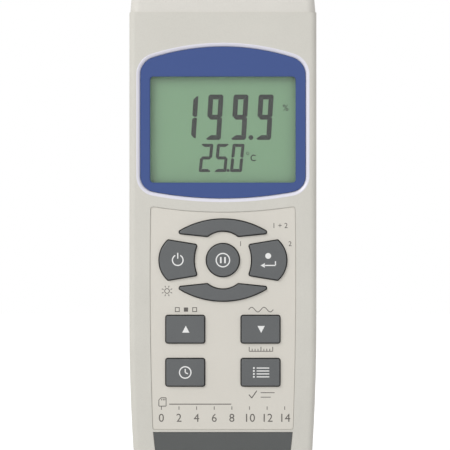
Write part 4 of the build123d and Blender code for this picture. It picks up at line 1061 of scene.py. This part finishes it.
def solid_boxes(name):
    """The box of each separate solid of a CAD node."""
    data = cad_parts[name].data
    places = {}
    parent = {}

    def root(item):
        while parent[item] != item:
            parent[item] = parent[parent[item]]
            item = parent[item]
        return item

    for vertex in data.vertices:
        key = tuple(round(value * 1e6) for value in vertex.co)
        places[vertex.index] = key
        parent.setdefault(key, key)
    for face in data.polygons:
        first = root(places[face.vertices[0]])
        for other in face.vertices[1:]:
            parent[root(places[other])] = first
    boxes = {}
    for key in parent:
        low, high = boxes.setdefault(root(key), ([1e9] * 3, [-1e9] * 3))
        for axis in range(3):
            low[axis] = min(low[axis], key[axis] * 1e-6)
            high[axis] = max(high[axis], key[axis] * 1e-6)
    return [(Vector(low), Vector(high)) for low, high in boxes.values()]


def cross_recess(radius, top, sizes):
    """The tool that cuts the cross: two tapered bars."""
    mesh = bmesh.new()
    half = radius * sizes.recess_share
    for long_axis in (0, 1):
        made = bmesh.ops.create_cube(mesh, size=1.0)["verts"]
        for vertex in made:
            deep = vertex.co.z < 0
            taper = 0.6 if deep else 1.0
            size = [half * 2 * taper, sizes.recess_width * (0.75 if deep else 1.0)]
            across, along = (size[0], size[1]) if long_axis == 0 else (size[1], size[0])
            vertex.co.x *= across
            vertex.co.y *= along
            vertex.co.z = top - sizes.recess_depth if deep else top + sizes.recess_depth
    data = bpy.data.meshes.new("cross_recess")
    mesh.to_mesh(data)
    mesh.free()
    tool = bpy.data.objects.new("cross_recess", data)
    bpy.context.scene.collection.objects.link(tool)
    return tool


def screw_model(name, radius, head_height, length_under, shank, sizes):
    """One screw along Z, with its head's underside at zero: domed head, cross recess and ridged shank."""
    dome = head_height * sizes.dome_share
    profile = [(0.0, head_height)]
    steps = 5
    for i in range(steps + 1):
        angle = math.pi / 2 * i / steps
        bend = Vector((math.sin(angle), math.cos(angle)))
        profile.append((radius - dome + dome * bend.x, head_height - dome + dome * bend.y))
    profile += [(radius, 0.0), (shank, 0.0)]
    ridges = max(4, int(length_under / THREAD_PITCH))
    for i in range(ridges):
        start = -length_under * i / ridges
        pitch = length_under / ridges
        profile += [(shank * THREAD_ROOT_SHARE, start - pitch * 0.35), (shank, start - pitch * 0.8)]
    profile += [(shank * 0.5, -length_under), (0.0, -length_under)]
    mesh = bmesh.new()
    verts = [mesh.verts.new((r, 0, z)) for r, z in profile]
    edges = [mesh.edges.new(pair) for pair in zip(verts, verts[1:])]
    bmesh.ops.spin(mesh, geom=verts + edges, axis=(0, 0, 1), cent=(0, 0, 0), angle=2 * math.pi, steps=32)
    bmesh.ops.remove_doubles(mesh, verts=mesh.verts, dist=1e-7)
    bmesh.ops.recalc_face_normals(mesh, faces=mesh.faces)
    data = bpy.data.meshes.new(name)
    mesh.to_mesh(data)
    mesh.free()
    screw = bpy.data.objects.new(name, data)
    bpy.context.scene.collection.objects.link(screw)
    tool = cross_recess(radius, head_height, sizes)
    cut = screw.modifiers.new("recess", "BOOLEAN")
    cut.object = tool
    cut.operation = "DIFFERENCE"
    cut.solver = "EXACT"
    cut.use_self = True
    bpy.context.view_layer.update()
    finished = bpy.data.meshes.new_from_object(screw.evaluated_get(bpy.context.evaluated_depsgraph_get()))
    screw.modifiers.clear()
    screw.data = finished
    bpy.data.objects.remove(tool)
    return screw


def spread_tree():
    """Geometry Nodes: one copy of a model on each point, turned at random about its own length."""
    tree = bpy.data.node_groups.new("spread_screws", "GeometryNodeTree")
    face = tree.interface
    face.new_socket("Points", in_out="INPUT", socket_type="NodeSocketGeometry")
    face.new_socket("Model", in_out="INPUT", socket_type="NodeSocketObject")
    face.new_socket("Finish", in_out="INPUT", socket_type="NodeSocketMaterial")
    face.new_socket("Seed", in_out="INPUT", socket_type="NodeSocketInt")
    face.new_socket("Screws", in_out="OUTPUT", socket_type="NodeSocketGeometry")
    given = tree.nodes.new("NodeGroupInput").outputs
    result = tree.nodes.new("NodeGroupOutput").inputs
    model = add_node(tree, "GeometryNodeObjectInfo", {"Object": given["Model"]}, transform_space="ORIGINAL")
    turn = tree.nodes.new("FunctionNodeRandomValue")
    turn.data_type = "FLOAT"
    turn.inputs[3].default_value = math.pi
    tree.links.new(given["Seed"], turn.inputs["Seed"])
    spin = add_node(tree, "ShaderNodeCombineXYZ", {"Z": turn.outputs[1]})
    upright = add_node(
        tree,
        "FunctionNodeRotateEuler",
        {"Rotation": (-math.pi / 2, 0, 0), "Rotate By": spin.outputs[0]},
        space="LOCAL",
    )
    spread = add_node(
        tree,
        "GeometryNodeInstanceOnPoints",
        {"Points": given["Points"], "Instance": model.outputs["Geometry"], "Rotation": upright.outputs[0]},
    )
    real = add_node(tree, "GeometryNodeRealizeInstances", {"Geometry": spread.outputs["Instances"]})
    finish = add_node(
        tree, "GeometryNodeSetMaterial", {"Geometry": real.outputs["Geometry"], "Material": given["Finish"]}
    )
    tree.links.new(finish.outputs["Geometry"], result["Screws"])
    return tree


def build_screws(node, body):
    """Cross-head screws in place of a CAD node's plain ones."""
    sizes = settings().screws
    boxes = solid_boxes(node)
    low, high = boxes[0]
    radius = (high.x - low.x) / 2
    head = SCREW_HEADS[node]
    model = screw_model(node + "_model", radius, head, high.y - low.y - head, SCREW_SHANK, sizes)
    points = bpy.data.meshes.new(node + "_points")
    seats = [((a.x + b.x) / 2, b.y - head, (a.z + b.z) / 2) for a, b in boxes]
    points.from_pydata(seats, [], [])
    holder = bpy.data.objects.new(node + "_points", points)
    bpy.context.scene.collection.objects.link(holder)
    tree = bpy.data.node_groups.get("spread_screws") or spread_tree()
    spread = holder.modifiers.new("spread", "NODES")
    spread.node_group = tree
    names = {item.name: item.identifier for item in tree.interface.items_tree if item.in_out == "INPUT"}
    spread[names["Model"]] = model
    spread[names["Finish"]] = bpy.data.materials["screw_steel"]
    spread[names["Seed"]] = sizes.turn_seed
    bpy.context.view_layer.update()
    data = bpy.data.meshes.new_from_object(holder.evaluated_get(bpy.context.evaluated_depsgraph_get()))
    bpy.data.objects.remove(holder)
    bpy.data.objects.remove(model)
    if len(data.polygons) < 100 * len(boxes):
        raise RuntimeError(f"the screws of {node} came out with {len(data.polygons)} faces")
    data.name = node.replace("screws", "cross_screws")
    screws = bpy.data.objects.new(data.name, data)
    bpy.context.scene.collection.objects.link(screws)
    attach(screws, body)
    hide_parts(node)


# Back and sides


def build_cover_marks():
    """The moulded arrow on the battery cover that shows which way it comes off."""
    low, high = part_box("battery_cover")
    back = high.y
    at = Vector((0.0, high.z - ARROW_DROP))
    head = [[at + spot(-3.2, 0), at + spot(3.2, 0), at + spot(0, 3.4)]]
    stem = rectangle(at + spot(-1.1, -3.6), at + spot(1.1, 0))
    material = bpy.data.materials["case_plastic"]
    rise = ARROW_SUNK * ARROW_RISE
    start = back - ARROW_SUNK
    arrow = head + stem
    raised("cover_arrow", arrow, start, material, "cover", depth=rise, facing=1)


# Stage


def aim(thing, target):
    """Turns a lamp or camera so that it looks at the target."""
    thing.rotation_euler = (Vector(target) - thing.location).to_track_quat("-Z", "Y").to_euler()


def add_lamp(name, place, target, power, size):
    """A soft square lamp."""
    data = bpy.data.lights.new(name, "AREA")
    data.energy = power
    data.size = size
    lamp = bpy.data.objects.new(name, data)
    bpy.context.scene.collection.objects.link(lamp)
    lamp.location = place
    aim(lamp, target)
    return lamp


def floor_material():
    """The pale floor: white to the camera, with the object's shadow kept."""
    material, tree, shader = blank_material("floor")
    place = tree.nodes.new("ShaderNodeTexCoord").outputs["Object"]
    cloud = add_node(tree, "ShaderNodeTexNoise", {"Vector": place, "Scale": 3.0}).outputs["Fac"]
    tone = mix_colours(tree, cloud, (0.86, 0.86, 0.86, 1), (0.9, 0.9, 0.9, 1))
    tree.links.new(tone, shader.inputs["Base Color"])
    shader.inputs["Roughness"].default_value = 0.9
    shader.inputs["Specular IOR Level"].default_value = 0.0
    path = tree.nodes.new("ShaderNodeLightPath").outputs
    seen = maths(tree, "MAXIMUM", path["Is Camera Ray"], path["Is Glossy Ray"])
    seen = maths(tree, "MAXIMUM", seen, path["Is Transmission Ray"])
    glow = add_node(tree, "ShaderNodeEmission", {"Strength": maths(tree, "MULTIPLY", seen, FLOOR_GLOW)})
    both = add_node(tree, "ShaderNodeAddShader", {0: shader.outputs[0], 1: glow.outputs[0]})
    output = tree.nodes["Material Output"]
    tree.links.new(both.outputs[0], output.inputs["Surface"])
    return material


def white_world(level):
    """The world: white to the camera and in reflections, and a plain level of light otherwise."""
    world = bpy.data.worlds.new("studio")
    bpy.context.scene.world = world
    world.use_nodes = True
    tree = world.node_tree
    path = tree.nodes.new("ShaderNodeLightPath").outputs
    seen = maths(tree, "MAXIMUM", path["Is Camera Ray"], path["Is Glossy Ray"])
    seen = maths(tree, "MAXIMUM", seen, path["Is Transmission Ray"])
    strength = map_range(tree, seen, 0.0, 1.0, level, 1.0)
    background = tree.nodes["Background"]
    background.inputs["Color"].default_value = (1, 1, 1, 1)
    tree.links.new(strength, background.inputs["Strength"])


def build_stage():
    """Floor, world, lamps and camera."""
    stage = settings().stage
    mesh = bmesh.new()
    bmesh.ops.create_circle(mesh, cap_ends=True, segments=96, radius=stage.floor_radius)
    data = bpy.data.meshes.new("floor")
    mesh.to_mesh(data)
    mesh.free()
    data.materials.append(floor_material())
    floor = bpy.data.objects.new("floor", data)
    bpy.context.scene.collection.objects.link(floor)
    floor.location.z = cad_low.z
    white_world(stage.world_level)
    target = ((cad_low.x + cad_high.x) / 2, cad_low.y, stage.look_z)
    add_lamp("key_lamp", KEY_LAMP_PLACE, target, stage.key_power, KEY_LAMP_SIZE)
    add_lamp("fill_lamp", FILL_LAMP_PLACE, target, stage.fill_power, FILL_LAMP_SIZE)
    camera = bpy.data.objects.new("camera", bpy.data.cameras.new("camera"))
    bpy.context.scene.collection.objects.link(camera)
    camera.data.lens = stage.lens
    camera.data.sensor_width = stage.sensor
    distance = stage.framed * stage.lens / stage.sensor
    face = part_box("front_case")[0].y
    camera.location = (stage.look_x, face - distance, stage.look_z)
    aim(camera, (stage.look_x, face, stage.look_z))
    bpy.context.scene.camera = camera
    bpy.context.scene.view_settings.view_transform = "Standard"


def build_finishes():
    """Gives every CAD node the finish of its material slot."""
    finishes = finish_materials()
    other_cell = cell_wrap_material("cell_wrap_turned", False)
    for name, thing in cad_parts.items():
        for holder in thing.material_slots:
            slot_name = holder.material.name.split(".")[0]
            if slot_name not in finishes:
                raise RuntimeError(f"no finish for the slot {slot_name} of {name}")
            holder.material = finishes[slot_name]
            if name in TURNED_CELLS:
                holder.material = other_cell


# Operators and panel


class METER_OT_finishes(bpy.types.Operator):
    """Give every CAD piece its finish"""

    bl_idname = "meter.finishes"
    bl_label = "Finishes"
    bl_options = {"REGISTER", "UNDO"}

    def execute(self, context):
        build_finishes()
        return {"FINISHED"}


class METER_OT_display_rim(bpy.types.Operator):
    """Line the bevel round the display with a painted highlight"""

    bl_idname = "meter.display_rim"
    bl_label = "Display rim"
    bl_options = {"REGISTER", "UNDO"}

    def execute(self, context):
        build_display_rim()
        return {"FINISHED"}


class METER_OT_display_figures(bpy.types.Operator):
    """Put the readings on the display"""

    bl_idname = "meter.display_figures"
    bl_label = "Display figures"
    bl_options = {"REGISTER", "UNDO"}

    def execute(self, context):
        build_display_figures()
        return {"FINISHED"}


class METER_OT_key_marks(bpy.types.Operator):
    """Print the symbols on the keys"""

    bl_idname = "meter.key_marks"
    bl_label = "Key marks"
    bl_options = {"REGISTER", "UNDO"}

    def execute(self, context):
        build_key_marks()
        return {"FINISHED"}


class METER_OT_panel_marks(bpy.types.Operator):
    """Print the marks on the keypad panel"""

    bl_idname = "meter.panel_marks"
    bl_label = "Panel marks"
    bl_options = {"REGISTER", "UNDO"}

    def execute(self, context):
        build_panel_marks()
        return {"FINISHED"}


class METER_OT_screws(bpy.types.Operator):
    """Put in the cross-head screws"""

    bl_idname = "meter.screws"
    bl_label = "Screws"
    bl_options = {"REGISTER", "UNDO"}

    def execute(self, context):
        build_screws("cover_screws", "cover")
        build_screws("case_screws", BODY)
        return {"FINISHED"}


class METER_OT_cover_mark(bpy.types.Operator):
    """Mould the arrow on the battery cover"""

    bl_idname = "meter.cover_mark"
    bl_label = "Cover mark"
    bl_options = {"REGISTER", "UNDO"}

    def execute(self, context):
        build_cover_marks()
        return {"FINISHED"}


class METER_OT_stage(bpy.types.Operator):
    """Set the floor, the lamps and the camera"""

    bl_idname = "meter.stage"
    bl_label = "Stage"
    bl_options = {"REGISTER", "UNDO"}

    def execute(self, context):
        build_stage()
        return {"FINISHED"}


OPERATORS = (
    METER_OT_finishes,
    METER_OT_display_rim,
    METER_OT_display_figures,
    METER_OT_key_marks,
    METER_OT_panel_marks,
    METER_OT_screws,
    METER_OT_cover_mark,
    METER_OT_stage,
)


class METER_PT_tools(bpy.types.Panel):
    """The meter's tools."""

    bl_label = "Meter"
    bl_space_type = "VIEW_3D"
    bl_region_type = "UI"
    bl_category = "Meter"

    def draw(self, context):
        for tool in OPERATORS:
            self.layout.operator(tool.bl_idname)


CLASSES = (
    MeterFinishSettings,
    MeterDisplaySettings,
    MeterMarkSettings,
    MeterScrewSettings,
    MeterStageSettings,
    MeterSettings,
    *OPERATORS,
    METER_PT_tools,
)


def register():
    """Registers the settings, the operators and the panel."""
    for item in CLASSES:
        bpy.utils.register_class(item)
    bpy.types.Scene.meter_settings = PointerProperty(type=MeterSettings)


def unregister():
    """Takes the settings, the operators and the panel away again."""
    del bpy.types.Scene.meter_settings
    for item in reversed(CLASSES):
        bpy.utils.unregister_class(item)


def main():
    """Builds everything in order."""
    register()
    for tool in OPERATORS:
        section, name = tool.bl_idname.split(".")
        getattr(getattr(bpy.ops, section), name)()


if __name__ == "__main__":
    main()
